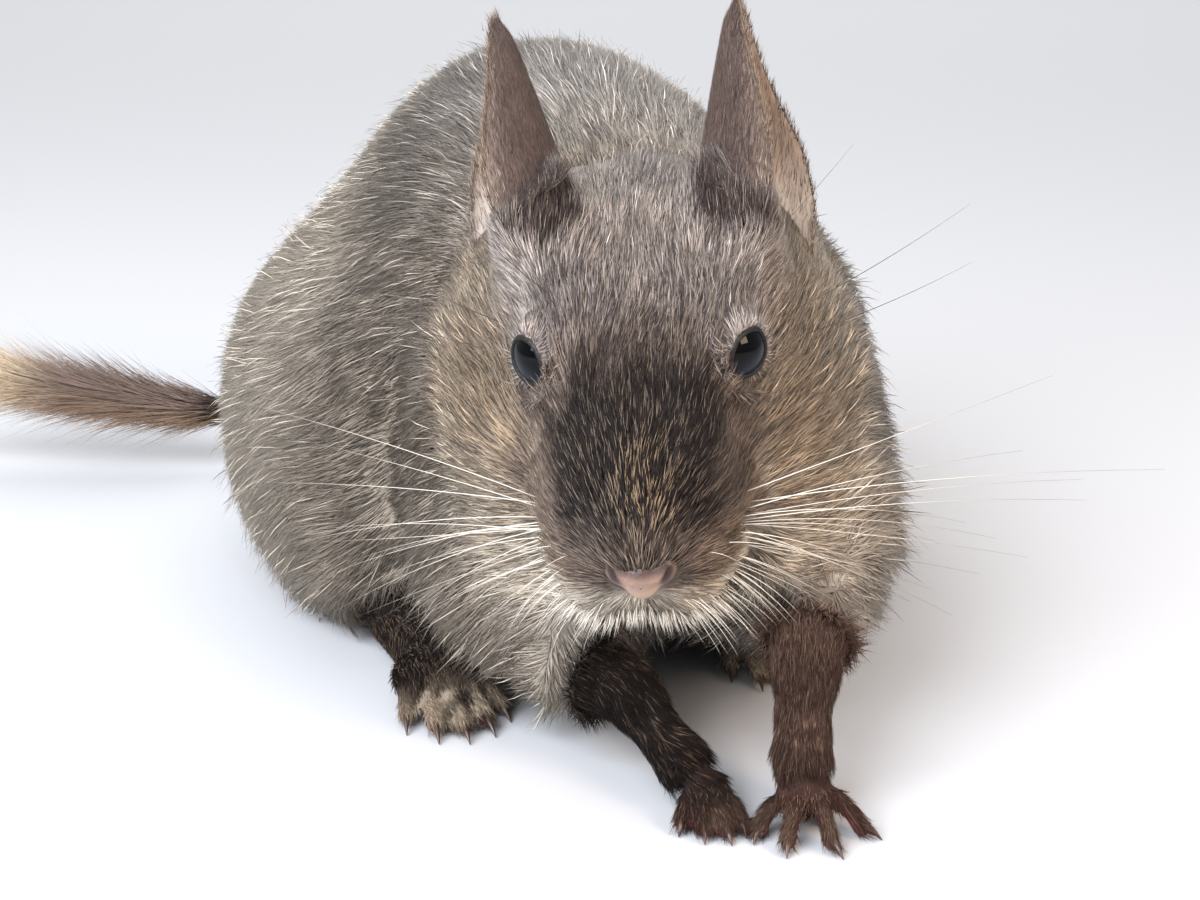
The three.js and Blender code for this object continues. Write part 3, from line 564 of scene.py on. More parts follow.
def markings(points, found):
    head, body = headSpace(points), bodySpace(points)
    side, up = np.abs(head[:, 0]), 0.76 * head[:, 1] + 0.65 * head[:, 2]
    patchy, mottled = ripple(points, 9, 3), ripple(points, 2.6, 4)
    colour = mix(shades["back"], shades["backFront"], ease(15, -20, body[:, 1]))

    def lay(shade, share):
        nonlocal colour
        colour = mix(colour, shades[shade] if isinstance(shade, str) else shade, share)

    lay("flank", ease(8, 28, np.abs(body[:, 0]) + 4 * patchy))
    lay("belly", np.maximum(found["belly"], found["throat"]))
    lay(mix(shades["cheek"], shades["jowl"], ease(-6, -20, head[:, 2] + 2 * patchy)), found["head"])
    # painted shade: darker in the crease just behind the head's outline; the ruff's lower edge is made
    # paler
    paintedCreaseShade = ease(0, 0.12, found["head"]) * ease(0.6, 0.2, found["head"]) * ease(6, -4, head[:, 2])
    ruff = ease(0.4, 0.8, found["head"]) * ease(1, 0.9, found["head"]) * ease(2, -8, head[:, 2])
    colour = colour * (1 - 0.1 * paintedCreaseShade + 0.15 * ruff)[:, None]
    lay("jowl", 0.5 * found["head"] * ease(4, 16, head[:, 1]) * ease(4, -4, head[:, 2]))
    lay("jowl", 0.4 * ease(0.5, 0, found["head"]) * ease(-14, -28, body[:, 1]))
    lay("crown", found["crown"])
    lay("brow", found["head"] * ease(15, 1, up + mottled) * ease(12, 8, side) * ease(-14, -8, up))
    half = np.interp(up, muzzleDark["up"], muzzleDark["half"])
    onFace = found["head"] * ease(5, -5, up + 1.5 * mottled) * ease(-17.5, -13, head[:, 2])
    lay("muzzleSide", onFace * ease(5.5, 1, side - half + mottled))
    dark = mix(shades["muzzle"], shades["muzzleSide"], 0.4 * ease(-16, -21, up))
    lay(dark, onFace * ease(2.2, -1.8, side - half + 1.2 * mottled))
    lay("earPatch", found["mound"] * ease(16, 12, head[:, 2] + mottled))
    lay("eyeRing", 0.4 * ease(1.9, 1.4, found["toEye"] + 0.2 * mottled) * ease(2, -3, up))
    lay("lips", found["lips"])
    lay("leg", found["legs"])
    lay("frontLeg", found["foreLeft"])
    lay("paw", np.maximum(found["foreLeftToes"], found["foreRightToes"]))
    lay("digit", 0.3 * found["digit"] * ease(-0.2, 0.6, mottled))
    lay("leg", 0.85 * found["foreRightToes"] * (1 - 0.6 * found["digit"]))
    onHind = np.maximum(found["hindLeftToes"], found["hindRightToes"])
    lay("foot", onHind * (0.45 + 0.4 * found["digit"]) * ease(-1, 0, mottled))
    middle = tailPath[np.minimum((found["tailShare"] * 60).astype(int), 60), 2]
    tailColour = mix(shades["tailTop"], shades["tailUnder"], ease(1, -1.2, points[:, 2] - middle))
    lay(mix(tailColour, shades["tailTip"], ease(0.72, 0.9, found["tailShare"])), found["tail"])
    return colour


# The direction in which the coat lies: back from the nose, over the body to the tail, down each limb
def lieOf(points, normals, found):
    body = bodySpace(points)
    outward = np.sign(body[:, 0]) * ease(4, 26, np.abs(body[:, 0]))
    downward = -0.15 - 0.75 * ease(8, 30, np.abs(body[:, 0])) * ease(80, 30, body[:, 1] + 45)
    overRump = downward - 0.4 * ease(15, 45, body[:, 1])
    flow = np.stack([0.1 * outward, np.ones(len(points)), overRump], 1) @ bodyTurn.T
    fromNose = unit(points - onHead(0, -21.5, -10))
    onCrown = mix(fromNose, unit(fromNose + 1.3 * (headTurn @ (0, 1, -0.1))), found["crown"])
    flow = mix(unit(flow), onCrown, found["head"])
    flow = mix(flow, headTurn @ (0, 0.3, 1), 0.8 * found["mound"])
    flow = mix(flow, found["fromEye"], 0.85 * ease(2.4, 1.3, found["toEye"]))
    for name in limbs:
        flow = mix(flow, found[name + "Ahead"], found[name])
    flow = mix(flow, found["digitAhead"], found["digit"])
    flow = mix(flow, found["tailAhead"], found["tail"])
    flow = laidOn(normals, flow)
    swirl = 0.22 * ripple(points, 7, 11) + 0.12 * ripple(points, 2.5, 12)
    return unit(flow + swirl[:, None] * np.cross(normals, flow))


# Skin: the flesh of the solids swollen until their thin cuts close, made one, smoothed, and drawn in
# by the depth of the coat
skinSizes = {
    "swell": 0.24,
    "voxel": 0.38,
    "rounds": 40,
    "triangles": 150000,
    "slimLeft": 0.35,  # the forelegs under their coat are slimmer by so much, and more at the elbow
    "slimRight": 0.6,
    "lowest": 0.12,
}
flesh = ["muzzle", "head", "neck", "torso", "thigh_left", "thigh_right"]
flesh += ["foreleg_left", "foreleg_right"]
feet = ["forepaw_left", "forepaw_right", "hind_foot_left", "hind_foot_right"]
tailNodes = ["tail_base", "tail_middle", "tail_brush"]


def ballMesh(rows, columns):
    turns = np.linspace(0, 2 * np.pi, columns, endpoint=False)
    turn, tilt = np.meshgrid(turns, np.linspace(0, np.pi, rows + 2)[1:-1])
    ball = np.stack([np.sin(tilt) * np.cos(turn), np.sin(tilt) * np.sin(turn), np.cos(tilt)], -1)
    ball = np.concatenate([[[0, 0, 1]], ball.reshape(-1, 3), [[0, 0, -1]]])
    quads = 1 + grid(rows, columns, wrap=True)
    around, last = np.arange(columns), 1 + (rows - 1) * columns
    after = (around + 1) % columns
    top = np.stack([0 * around, 1 + around, 1 + after], 1)
    bottom = np.stack([0 * around + len(ball) - 1, last + after, last + around], 1)
    return ball, np.concatenate([quads[:, [0, 2, 1]], quads[:, [0, 3, 2]], top, bottom])


def limbMesh(corners, radii, sides=16, steps=24):
    path = smoothPath(corners, steps)  # a limb or digit with round ends
    size = np.interp(np.linspace(0, 1, steps), np.linspace(0, 1, len(radii)), radii)
    bulge = np.linspace(0, np.pi / 2, 6)[1:]
    start, end = unit(path[0] - path[1]), unit(path[-1] - path[-2])
    before = path[0] + start * (size[0] * np.sin(bulge[::-1]))[:, None]
    after = path[-1] + end * (size[-1] * np.sin(bulge))[:, None]
    size = np.concatenate([size[0] * np.cos(bulge[::-1]), size, size[-1] * np.cos(bulge)])
    return tubeAlong(np.concatenate([before, path, after]), np.maximum(size, 0.02), sides)


def feetMeshes():
    ball, ballFaces = ballMesh(14, 24)
    for name, path in limbs.items():
        fore = name.startswith("fore")
        if fore:
            yield limbMesh([path[1], path[2], path[3]], (3.9, 3.1, 2.6))
            wide = 3.7 if name == "foreLeft" else 3.0
            yield path[3] + np.array([0, 0.4, 0.2]) + ball * (wide, 3.5, 2.6), ballFaces
        else:
            yield limbMesh([path[0], path[1]], (4.1, 3.5))
            yield onFoot(name, 0, 1.5, 0) + ball * (5.6, 6.4, 3.5), ballFaces
        thick, thin = digitSizes["fore" if fore else "hind"]
        for knuckle, tip, point in digits[name]:
            root = mix(path[3] if fore else onFoot(name, 0, 2, 0), knuckle, 0.4)
            bent = mix(knuckle, tip, 0.55) + above(0.45)
            yield limbMesh([root, knuckle, bent, tip], (thick, thick, 0.9 * thin, thin))
            pad = mix(knuckle, tip, 0.95) - above(0.25)
            yield pad + ball * (0.85 * thin, 0.95 * thin, 0.7 * thin), ballFaces


def evaluated(name, points, triangles, kind, **settings):
    rough = makePiece(name, points, triangles)
    modifier = rough.modifiers.new(name, kind)
    for setting, value in settings.items():
        setattr(modifier, setting, value)
    points, triangles = meshOf(rough)
    bpy.data.objects.remove(rough)
    return points, triangles


def buildSkin():
    pieces = list(feetMeshes())
    for name in flesh:
        points, triangles = meshOf(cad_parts[name])
        pieces.append((points + skinSizes["swell"] * pointNormals(points, triangles), triangles))
    ball, ballFaces = ballMesh(14, 24)
    for side, s in hands.items():
        pieces.append((eyePlaces[side] + (eye["radius"] + 0.2) * ball, ballFaces))
        whiskerPad = np.array([s * 7.6, -15, -12]) + ball * (3.2, 3.9, 4.1)
        pieces.append((onHeadAll(whiskerPad), ballFaces))
    radii = np.interp(np.linspace(0, 1, len(tailPath)), [0, 0.5, 1], [2.4, tail["coreRadius"], 0.9])
    pieces.append(tubeAlong(tailPath, radii, 14))
    starts = np.cumsum([0] + [len(points) for points, _ in pieces])
    allPoints = np.concatenate([points for points, _ in pieces])
    allTriangles = np.concatenate([triangles + start for (_, triangles), start in zip(pieces, starts)])
    voxel = skinSizes["voxel"] * mm
    return evaluated("one skin", allPoints, allTriangles, "REMESH", mode="VOXEL", voxel_size=voxel)


def smoothed(points, triangles, rounds, strength):
    pairs = np.concatenate([triangles[:, [0, 1]], triangles[:, [1, 2]], triangles[:, [2, 0]]])
    pairs = np.unique(np.sort(pairs, axis=1), axis=0)
    both = np.concatenate([pairs, pairs[:, ::-1]])
    degree = np.bincount(both[:, 0], minlength=len(points))[:, None]
    for step in range(rounds):
        sums = [np.bincount(both[:, 0], points[both[:, 1], axis], len(points)) for axis in range(3)]
        pull = np.stack(sums, 1) / degree - points
        points = points + pull * strength[:, None] * (1 if step % 2 == 0 else -0.96)
    return points


# Round each eye the skin lies on the ball outside the opening and sinks behind it within
def roundEyes(points):
    for side, s in hands.items():
        near = (points - eyePlaces[side]) @ eyeAxes(s)
        rim = np.hypot(near[:, 0], near[:, 1]) / rimAt(near[:, 0], near[:, 1], s)
        away = np.linalg.norm(near, axis=1)
        wanted = eye["radius"] + mix(0.16, -0.5, ease(1.15, 0.95, rim))
        lies = (near[:, 2] > 0) & (away < eye["radius"] + 1.5)
        share = np.where(lies, ease(2.4, 1.5, rim), 0)
        target = np.where((rim < 1.15) | (away < wanted), wanted, away)
        step = (target - away) * np.maximum(share, lies * (away < wanted))
        points = points + (near / away[:, None] * step[:, None]) @ eyeAxes(s).T
    return points


skinPoints, skinTriangles = buildSkin()
skinAreas = areas(skinPoints)
softness = 0.66 - 0.58 * np.maximum(skinAreas["toes"], 0.7 * skinAreas["muzzle"])
skinPoints = smoothed(skinPoints, skinTriangles, skinSizes["rounds"], softness)
thinned = {"ratio": skinSizes["triangles"] / len(skinTriangles)}
skinPoints, skinTriangles = evaluated("thinned", skinPoints, skinTriangles, "DECIMATE", **thinned)
skinNormals = pointNormals(skinPoints, skinTriangles)
skinAreas = areas(skinPoints)
slim = skinSizes["slimRight"] * skinAreas["foreRight"] + skinSizes["slimLeft"] * skinAreas["foreLeft"]
slim = slim * (1 - skinAreas["digit"]) * (1 + 1.2 * ease(9, 16, skinPoints[:, 2]))
skinPoints = skinPoints - skinNormals * (coatAt(skinAreas)["depth"] + slim)[:, None]
skinPoints = roundEyes(skinPoints)
skinPoints[:, 2] = np.maximum(skinPoints[:, 2], skinSizes["lowest"])
skinNormals = pointNormals(skinPoints, skinTriangles)
skinAreas = areas(skinPoints)
coatOnSkin = coatAt(skinAreas)
skinColours = markings(skinPoints, skinAreas)
bare = skinAreas["digit"] * ease(0.6, 0.0, skinNormals[:, 2])
skinColours = mix(skinColours, shades["pads"] / 0.6, bare)
print("skin made,", len(skinTriangles), "triangles")


# Tufts: each a closed three-sided lock, rooted in the skin, bent over along the coat's lie
tuftShape = {"bow": 0.9, "sink": 0.04, "ridge": 0.8, "patch": 0.0028, "lowest": 0.08}


def tufts(roots, normals, lie, length, height, width, colours, spots, rings=2):
    across = np.cross(lie, normals)
    if rings == 1:
        colours = (mix(colours[0], colours[1], 0.4), colours[1], colours[2])
    points, tints, patches = [], [], []
    patch = tuftShape["patch"] / 2
    for t in np.linspace(0, 1, rings + 1):
        rise = height * (tuftShape["bow"] - (1 - t) ** 2) - tuftShape["sink"]
        middle = roots + lie * (length * t)[:, None] + normals * rise[:, None]
        ahead = unit(lie * length[:, None] + normals * (2 * height * (1 - t))[:, None])
        up = unit(np.cross(across, ahead))
        side = np.cross(ahead, up)
        half = (width * (0.5 - 0.1 * t))[:, None]
        ring, shifts = [middle], [0]
        if t < 1:
            top = middle + up * half * tuftShape["ridge"]
            ring, shifts = [middle - side * half, middle + side * half, top], [-patch, patch, 0]
        points += ring
        low, high = (colours[0], colours[1]) if t < 0.5 else (colours[1], colours[2])
        tints += [low + (high - low) * (2 * t % 1 if 0 < t < 1 else t)] * len(ring)
        patches += [spots + (shift, 2 * patch * t - patch) for shift in shifts]
    faces = [[0, 2, 1]]
    for low in range(0, 3 * rings, 3):
        for a, b in ((0, 1), (1, 2), (2, 0)):
            if low < 3 * rings - 3:
                faces += [[low + a, low + b, low + 3 + b], [low + a, low + 3 + b, low + 3 + a]]
            else:
                faces.append([low + a, low + b, low + 3])
    size = len(points)
    faces = (np.arange(len(roots))[:, None, None] * size + np.array(faces)[None]).reshape(-1, 3)
    points = np.stack(points, 1).reshape(-1, 3)
    points[:, 2] = np.maximum(points[:, 2], tuftShape["lowest"])
    return points, faces, np.stack(tints, 1).reshape(-1, 3), np.stack(patches, 1).reshape(-1, 2)


def unwrapped(points, middle, axis):
    away = unit(points - middle)  # round a piece's own middle: turn and tilt, as on a globe
    first = unit(np.cross(axis, (0.3, 0.1, 1)))
    turn = np.arctan2(away @ first, away @ np.cross(axis, first)) / (2 * np.pi) + 0.5
    tilt = np.arccos(np.clip(away @ axis, -1, 1)) / np.pi
    return 0.01 + 0.98 * np.stack([turn, tilt], 1)


# Roots spread evenly over the skin, as many to each triangle as its zone asks
def scatter(points, triangles, normals, count):
    size = np.linalg.norm(faceNormals(points, triangles), axis=1) / 2
    wanted = np.floor(size * count[triangles].mean(1) + rng.uniform(size=len(triangles))).astype(int)
    chosen = np.repeat(np.arange(len(triangles)), wanted)
    a, b = rng.uniform(size=(2, len(chosen)))
    a, b = np.where(a + b > 1, 1 - a, a), np.where(a + b > 1, 1 - b, b)
    weights = np.stack([1 - a - b, a, b], 1)[:, :, None]
    corners = triangles[chosen]
    return (points[corners] * weights).sum(1), unit((normals[corners] * weights).sum(1))


def clumped(roots, size, pull):
    cells = np.floor((roots + 0.35 * size * np.sin(roots[:, [1, 2, 0]] / size)) / size).astype(int)
    cell = np.unique(cells, axis=0, return_inverse=True)[1].reshape(-1)
    total = np.bincount(cell)
    middles = np.stack([np.bincount(cell, roots[:, axis]) / total for axis in range(3)], 1)
    return pull * (middles[cell] - roots), rng.normal(size=len(total))[cell]


coat = {
    "jitter": 0.13,
    "clumps": ((1.9, 0.42), (0.9, 0.34)),  # on the body and on the head: a lock's size and its pull
    "lockTone": 0.2,
    "faceLockTone": 0.3,
    "hairTone": 0.26,
    "faceHairTone": 0.35,
    "darkRootAndShade": 0.4,
    "guardShare": 0.03,
    "guardLength": 1.4,
}


def growCoat():
    count = coatOnSkin["count"] * (skinAreas["toEye"] > 1.08) * (skinPoints[:, 2] > 0.25)
    count = count * (1 - 0.85 * skinAreas["digit"] * ease(0.45, -0.1, skinNormals[:, 2]))
    toNose = np.linalg.norm((headSpace(skinPoints) - (0.3, -22, -9.1)) / (3.5, 3.4, 1.9), axis=1)
    return scatter(skinPoints, skinTriangles, skinNormals, count * (toNose > 1))


roots, rootNormals = growCoat()
rootAreas = areas(roots)
rootCoat = coatAt(rootAreas)
total = len(roots)
bodyShift, bodyTone = clumped(roots, *coat["clumps"][0])
headShift, headTone = clumped(roots, *coat["clumps"][1])
fineShare = np.maximum(rootAreas["head"], rootAreas["legs"])
shift, lockTone = mix(bodyShift, headShift, fineShare), mix(bodyTone, headTone, fineShare)
strays = coat["jitter"] * rng.normal(size=(total, 3))
lie = lieOf(roots, rootNormals, rootAreas) + strays + shift / rootCoat["length"][:, None]
lie = laidOn(rootNormals, lie)
guardShare = coat["guardShare"] * (ease(2.2, 5, rootCoat["length"]) + 0.8 * rootAreas["mound"])
guard = rng.uniform(size=total) < guardShare
length = rootCoat["length"] * rng.uniform(0.7, 1.2, total) * np.where(guard, coat["guardLength"], 1)
height = (rootCoat["depth"] * rng.uniform(0.3, 1.0, total) + 0.1) * np.where(guard, 1.9, 1)
width = rootCoat["width"] * rng.uniform(0.75, 1.3, total) * np.where(guard, 0.65, 1)

lockTone = mix(coat["lockTone"], coat["faceLockTone"], rootAreas["head"]) * lockTone
hairTone = mix(coat["hairTone"], coat["faceHairTone"], rootAreas["head"])
tone = 1 + hairTone * rng.normal(size=total) + lockTone + 0.08 * ripple(roots, 5, 21)
tone = mix(tone, 1, 0.55 * np.maximum(rootAreas["throat"], rootAreas["belly"]))
base = markings(roots, rootAreas)
body = base * np.clip(tone, 0.4, 1.8)[:, None]
kind = rng.uniform(size=total)
softer = np.maximum(rootAreas["lips"], np.maximum(rootAreas["throat"], rootAreas["belly"]))
dark = kind < mix(mix(0.3, 0.4, rootAreas["crown"]), 0.14, softer)
body = np.where(dark[:, None], mix(body, shades["darkTick"], 0.75), body)
ridge = headSpace(roots) @ (0, 0.76, 0.65)
offRidge = np.abs(headSpace(roots)[:, 0] - 1.2)
golden = rootAreas["muzzle"] * ease(4, 0.5, offRidge) * ease(-20, -17, ridge) * ease(-8, -13, ridge)
paleShare = mix(mix(0.16, 0.24, rootAreas["head"]), 0.14, rootAreas["muzzle"])
paleShare = mix(paleShare, 0.3, np.maximum(0.6 * rootAreas["legs"], golden))
paleShare = mix(paleShare, 0.08, np.maximum(rootAreas["mound"], rootAreas["foreRight"])) * ~guard
paleTick = mix(shades["paleTick"], shades["tanTick"], rootAreas["muzzle"])
paleTick = mix(mix(paleTick, shades["goldTick"], golden), shades["digit"], rootAreas["legs"])
pale = kind > 1 - paleShare
body = np.where(pale[:, None], mix(body, paleTick, 0.3), body)
paleTip = mix(body, paleTick, mix(0.6, 0.85, fineShare))
tip = np.where(pale[:, None], paleTip, body * 1.1)
tip = np.where((guard & (kind < 0.85))[:, None], mix(body, shades["darkTick"], 0.8), tip)
# each tuft darkens to its root: partly the hair's dark base, partly painted shade deep in the coat;
# less on belly, throat and lips
rootTint = base * mix(coat["darkRootAndShade"], 0.82, softer)[:, None]
print("coat grown,", total, "tufts")

# The coat's pieces, each with the middle and the axis that its patches are laid out round
headMiddle, faceMiddle, bodyMiddle = onHead(0, 6, -8), onHead(0, 0, -8), onBody(0, 0, 24)
headAxis, bodyAxis = headTurn @ (0, 1, 0), bodyTurn @ (0, 1, 0)
limbNames = {"foreLeft": "foreleg_left", "foreRight": "foreleg_right"}
limbNames.update({"hindLeft": "hind_foot_left", "hindRight": "hind_foot_right"})
rootsOnHead, rootsOnBody = headSpace(roots), bodySpace(roots)
onTheHead = rootAreas["head"] > 0.5
onTheSide = onTheHead & (rootAreas["crown"] < 0.5)
region = np.full(total, "back", dtype="U24")
region[rootsOnBody[:, 2] < 12] = "underside"
region[(rootsOnBody[:, 0] > 16) & (rootsOnBody[:, 2] >= 12)] = "flank_left"
region[(rootsOnBody[:, 0] < -16) & (rootsOnBody[:, 2] >= 12)] = "flank_right"
region[onTheHead] = "crown"
region[onTheSide & (rootsOnHead[:, 0] > 0)] = "cheek_left"
region[onTheSide & (rootsOnHead[:, 0] <= 0)] = "cheek_right"
region[onTheHead & (rootAreas["muzzle"] > 0.5)] = "muzzle"
for name, piece in limbNames.items():
    region[rootAreas[name] > 0.5] = piece
region[rootAreas["tail"] > 0.5] = "tail"
region[guard] = np.where(onTheHead, "guard_hairs_head", "guard_hairs_body")[guard]
facePieces = ("crown", "cheek_left", "cheek_right", "muzzle", "guard_hairs_head")
coatSlots = {"tail": "tail_coat", **dict.fromkeys(facePieces, "face_coat")}
coatSlots.update(dict.fromkeys(limbNames.values(), "leg_coat"))
mostTufts = 48000  # to a piece
coatPieces = []
for name in np.unique(region):
    member = np.flatnonzero(region == name)
    mostlyHead = onTheHead[member].mean() > 0.5
    middle, axis = (headMiddle, headAxis) if mostlyHead else (bodyMiddle, bodyAxis)
    for limb, piece in limbNames.items():
        if piece == name:
            start, end = limbs[limb][0], limbs[limb][-1]
            middle, axis = (start + end) / 2, unit(end - start)
    if name == "tail":
        middle, axis = tailPath[20], np.array([-1.0, 0, 0])
    rings = 2 if name.startswith("guard") else 1
    spots = unwrapped(roots[member], middle, axis)
    parts = 1 + len(member) // mostTufts
    for part, chosen in enumerate(np.array_split(np.arange(len(member)), parts)):
        m = member[chosen]
        shape = [value[m] for value in (roots, rootNormals, lie, length, height, width)]
        made = tufts(*shape, (rootTint[m], body[m], tip[m]), spots[chosen], rings)
        coatPieces.append((makePiece(f"coat_{name}_{part + 1}", *made), coatSlots.get(name, "coat")))
        print(coatPieces[-1][0].name, len(made[1]))

# Brush of the tail: long hair that starts past the middle and spreads before it closes to the tip
share = tail["brushStart"] + (1.0 - tail["brushStart"]) * rng.uniform(0, 1, tail["brushTufts"]) ** 0.9
along = share * (len(tailPath) - 1)
index = np.minimum(along.astype(int), len(tailPath) - 2)
ahead = unit(tailPath[index + 1] - tailPath[index])
middle = mix(tailPath[index], tailPath[index + 1], along - index)
angle = rng.uniform(0, 2 * np.pi, len(share))
across = unit(np.cross(ahead, (0, 0, 1)))
outward = across * np.cos(angle)[:, None] + np.cross(across, ahead) * np.sin(angle)[:, None]
within = (share - tail["brushStart"]) / (1 - tail["brushStart"])
brushRoots = middle + outward * (tail["coreRadius"] * mix(1.1, 0.5, within))[:, None]
brushLength = tail["brushLength"] * rng.uniform(0.6, 1.1, len(share))
brushLength = brushLength * mix(0.75, 1.0, ease(0, 0.3, within)) * mix(1, 0.7, ease(0.6, 1, within))
spread = tail["brushSpread"] * rng.uniform(0.25, 1, len(share))
spread = spread * np.interp(within, [0, 0.25, 0.6, 1], [0.35, 0.9, 0.75, 0.3])
brushTone = np.clip(1 + 0.2 * rng.normal(size=len(share)), 0.5, 1.6)
brushBase = markings(brushRoots, areas(brushRoots)) * brushTone[:, None]
tints = (brushBase * 0.65, brushBase, brushBase * 1.1)
spots = unwrapped(brushRoots, tailPath[45], ahead[0])
brushLie = unit(ahead + 0.16 * rng.normal(size=ahead.shape))
brushWidth = np.full(len(share), tail["brushWidth"])
made = tufts(brushRoots, outward, brushLie, brushLength, spread + 0.2, brushWidth, tints, spots, 1)
brush = makePiece("coat_tail_brush", *made)
print("brush of the tail made,", len(made[1]), "triangles")


def buildEar(s):
    sheet = earSheet(s)
    rows, columns = sheet.shape[:2]
    normal = unit(np.cross(np.gradient(sheet, axis=1), np.gradient(sheet, axis=0)))
    if (normal @ (headTurn @ (s, 0, 0))).mean() < 0:
        normal = -normal  # towards the inside of the cup
    u = np.abs(np.linspace(-1, 1, columns))[None]
    v = np.linspace(0, 1, rows)[:, None]
    edge = np.minimum(ease(1, 0.75, u), ease(1, 0.93, v))
    thick = (ear["rim"] + (ear["thickness"] - ear["rim"]) * edge)[..., None] / 2
    inside, outside = (sheet + normal * thick).reshape(-1, 3), (sheet - normal * thick).reshape(-1, 3)
    quads = facing(inside, grid(rows, columns), normal.reshape(-1, 3))
    sides = [np.arange(columns), columns * np.arange(1, rows) + columns - 1]
    sides += [rows * columns - 2 - np.arange(columns - 1), columns * np.arange(rows - 2, 0, -1)]
    border = np.concatenate(sides)
    after = np.roll(border, -1)
    count = rows * columns
    rim = np.stack([border, border + count, after + count, after], 1)
    points = np.concatenate([inside, outside])
    # painted shade deep in the cup, low by the ear's opening
    canalShadeShare = (ease(0.45, 0.05, v) * ease(0.75, 0.1, u)).ravel()
    low = (ease(0.55, 0.3, v) * ease(0.2, 0.6, u)).ravel()
    lowOutside = (ease(0.38, 0.18, v) * ease(0.2, 0.6, u)).ravel()
    inner = mix(mix(earShades["inside"], earShades["lobe"], 0.8 * low), earShades["paintedCanalShade"], canalShadeShare)
    inner = mix(inner, earShades["rim"], 0.6 * (1 - edge).ravel())
    outer = mix(earShades["outside"], earShades["lobe"], 0.8 * lowOutside)
    outer = mix(outer, earShades["rim"], 0.35 * (1 - edge).ravel())
    patchy = 1 + 0.1 * ripple(points, 3, 31)[:, None] + 0.06 * ripple(points, 0.8, 32)[:, None]
    faces = np.concatenate([quads, quads[:, ::-1] + count, rim])
    return points, faces, np.concatenate([inner, outer]) * patchy, sheet


def colourNear(points, colours, spots):
    found = np.empty_like(spots)
    for start in range(0, len(spots), 2000):
        chosen = spots[start : start + 2000]
        gap = ((chosen[:, None] - points[None, ::3]) ** 2).sum(-1)
        found[start : start + 2000] = colours[::3][gap.argmin(1)]
    return found


def earTufts(s, points, faces, colours, sheet):
    triangles = np.concatenate([faces[:, [0, 1, 2]], faces[:, [0, 2, 3]]])
    normals = pointNormals(points, triangles)
    inner = np.arange(len(points)) < len(points) // 2
    height = ((headSpace(points) - (s * ear["place"][0], *ear["place"][1:])) @ earTurn(s))[:, 2]
    count = np.where(inner, ear["tuftsInside"], ear["tuftsOutside"]) * ease(1, 4, height)
    spots, turns = scatter(points, triangles, normals, count)
    foot, tip = sheet[0].mean(0), sheet[-1].mean(0)
    up = unit(tip - foot)
    lie = up + 0.3 * unit(spots - sheet[15, 20]) + 0.16 * rng.normal(size=spots.shape)
    many = len(spots)
    low = ease(11, 3, (spots - foot) @ up)  # the hair is longest round the foot of the ear
    reach = ear["tuftLength"] * rng.uniform(0.6, 1.25, many)
    reach = reach * (1 + 1.6 * low * rng.uniform(0, 1, many) ** 2)
    tone = np.clip(1 + 0.32 * rng.normal(size=many), 0.4, 1.8)[:, None]
    tint = colourNear(points, colours, spots) * tone
    # the rim's hairs stand out past its edge
    row, edge = rng.integers(4, len(sheet) - 1, ear["rimTufts"]), rng.integers(0, 2, ear["rimTufts"])
    onRim = sheet[row, -edge] + 0.2 * rng.normal(size=(len(row), 3))
    outwards = unit(sheet[row, -edge] - sheet[row, np.where(edge, -5, 4)])
    across = unit(np.cross(outwards, up) + 0.3 * rng.normal(size=onRim.shape))
    rimLie = unit(outwards * rng.uniform(0, 0.5, len(row))[:, None] + up)
    rimTint = earShades["rim"] * rng.uniform(0.6, 1.2, len(row))[:, None]
    spots, turns = np.concatenate([spots, onRim]), np.concatenate([turns, across])
    lie = np.concatenate([laidOn(turns[:many], lie), rimLie])
    reach = np.concatenate([reach, rng.uniform(0.6, 1.3, len(row))])
    tint = np.concatenate([tint, rimTint])
    rise = rng.uniform(0.08, 0.28, len(spots))
    wide = rng.uniform(0.07, 0.12, len(spots))
    middle = sheet[25, 20] + 4 * headTurn @ (-s, 0, 0)
    tints, patches = (tint * 0.75, tint, tint * 1.2), unwrapped(spots, middle, up)
    return tufts(spots, turns, lie, reach, rise, wide, tints, patches, 1)


earPieces, earCoats = [], []
for side, s in hands.items():
    points, faces, colours, sheet = buildEar(s)
    earPieces.append(makePiece("thin_ear_" + side, points, faces, colours))
    earCoats.append(makePiece("coat_ear_" + side, *earTufts(s, points, faces, colours, sheet)))
    print("ear made,", len(earCoats[-1].data.polygons), "triangles of tufts")


# Eyes: dark wet balls, each in an almond opening whose front corner lies low
def buildEye(side, s):
    ball, faces = ballMesh(31, 48)
    # painted reflection: the ball turns blue-grey low down towards the nose, as the pale floor would
    # show in it
    down = ease(-0.1, 0.5, -s * ball[:, 1] - 0.35 * ball[:, 0]) * ease(0.2, 0.7, ball[:, 2])
    colour = mix(linear(eye["dark"]), linear(eye["paintedReflection"]), down)
    points = eyePlaces[side] + eye["radius"] * ball @ eyeAxes(s).T
    return makePiece("wet_eye_" + side, points, faces, colour)


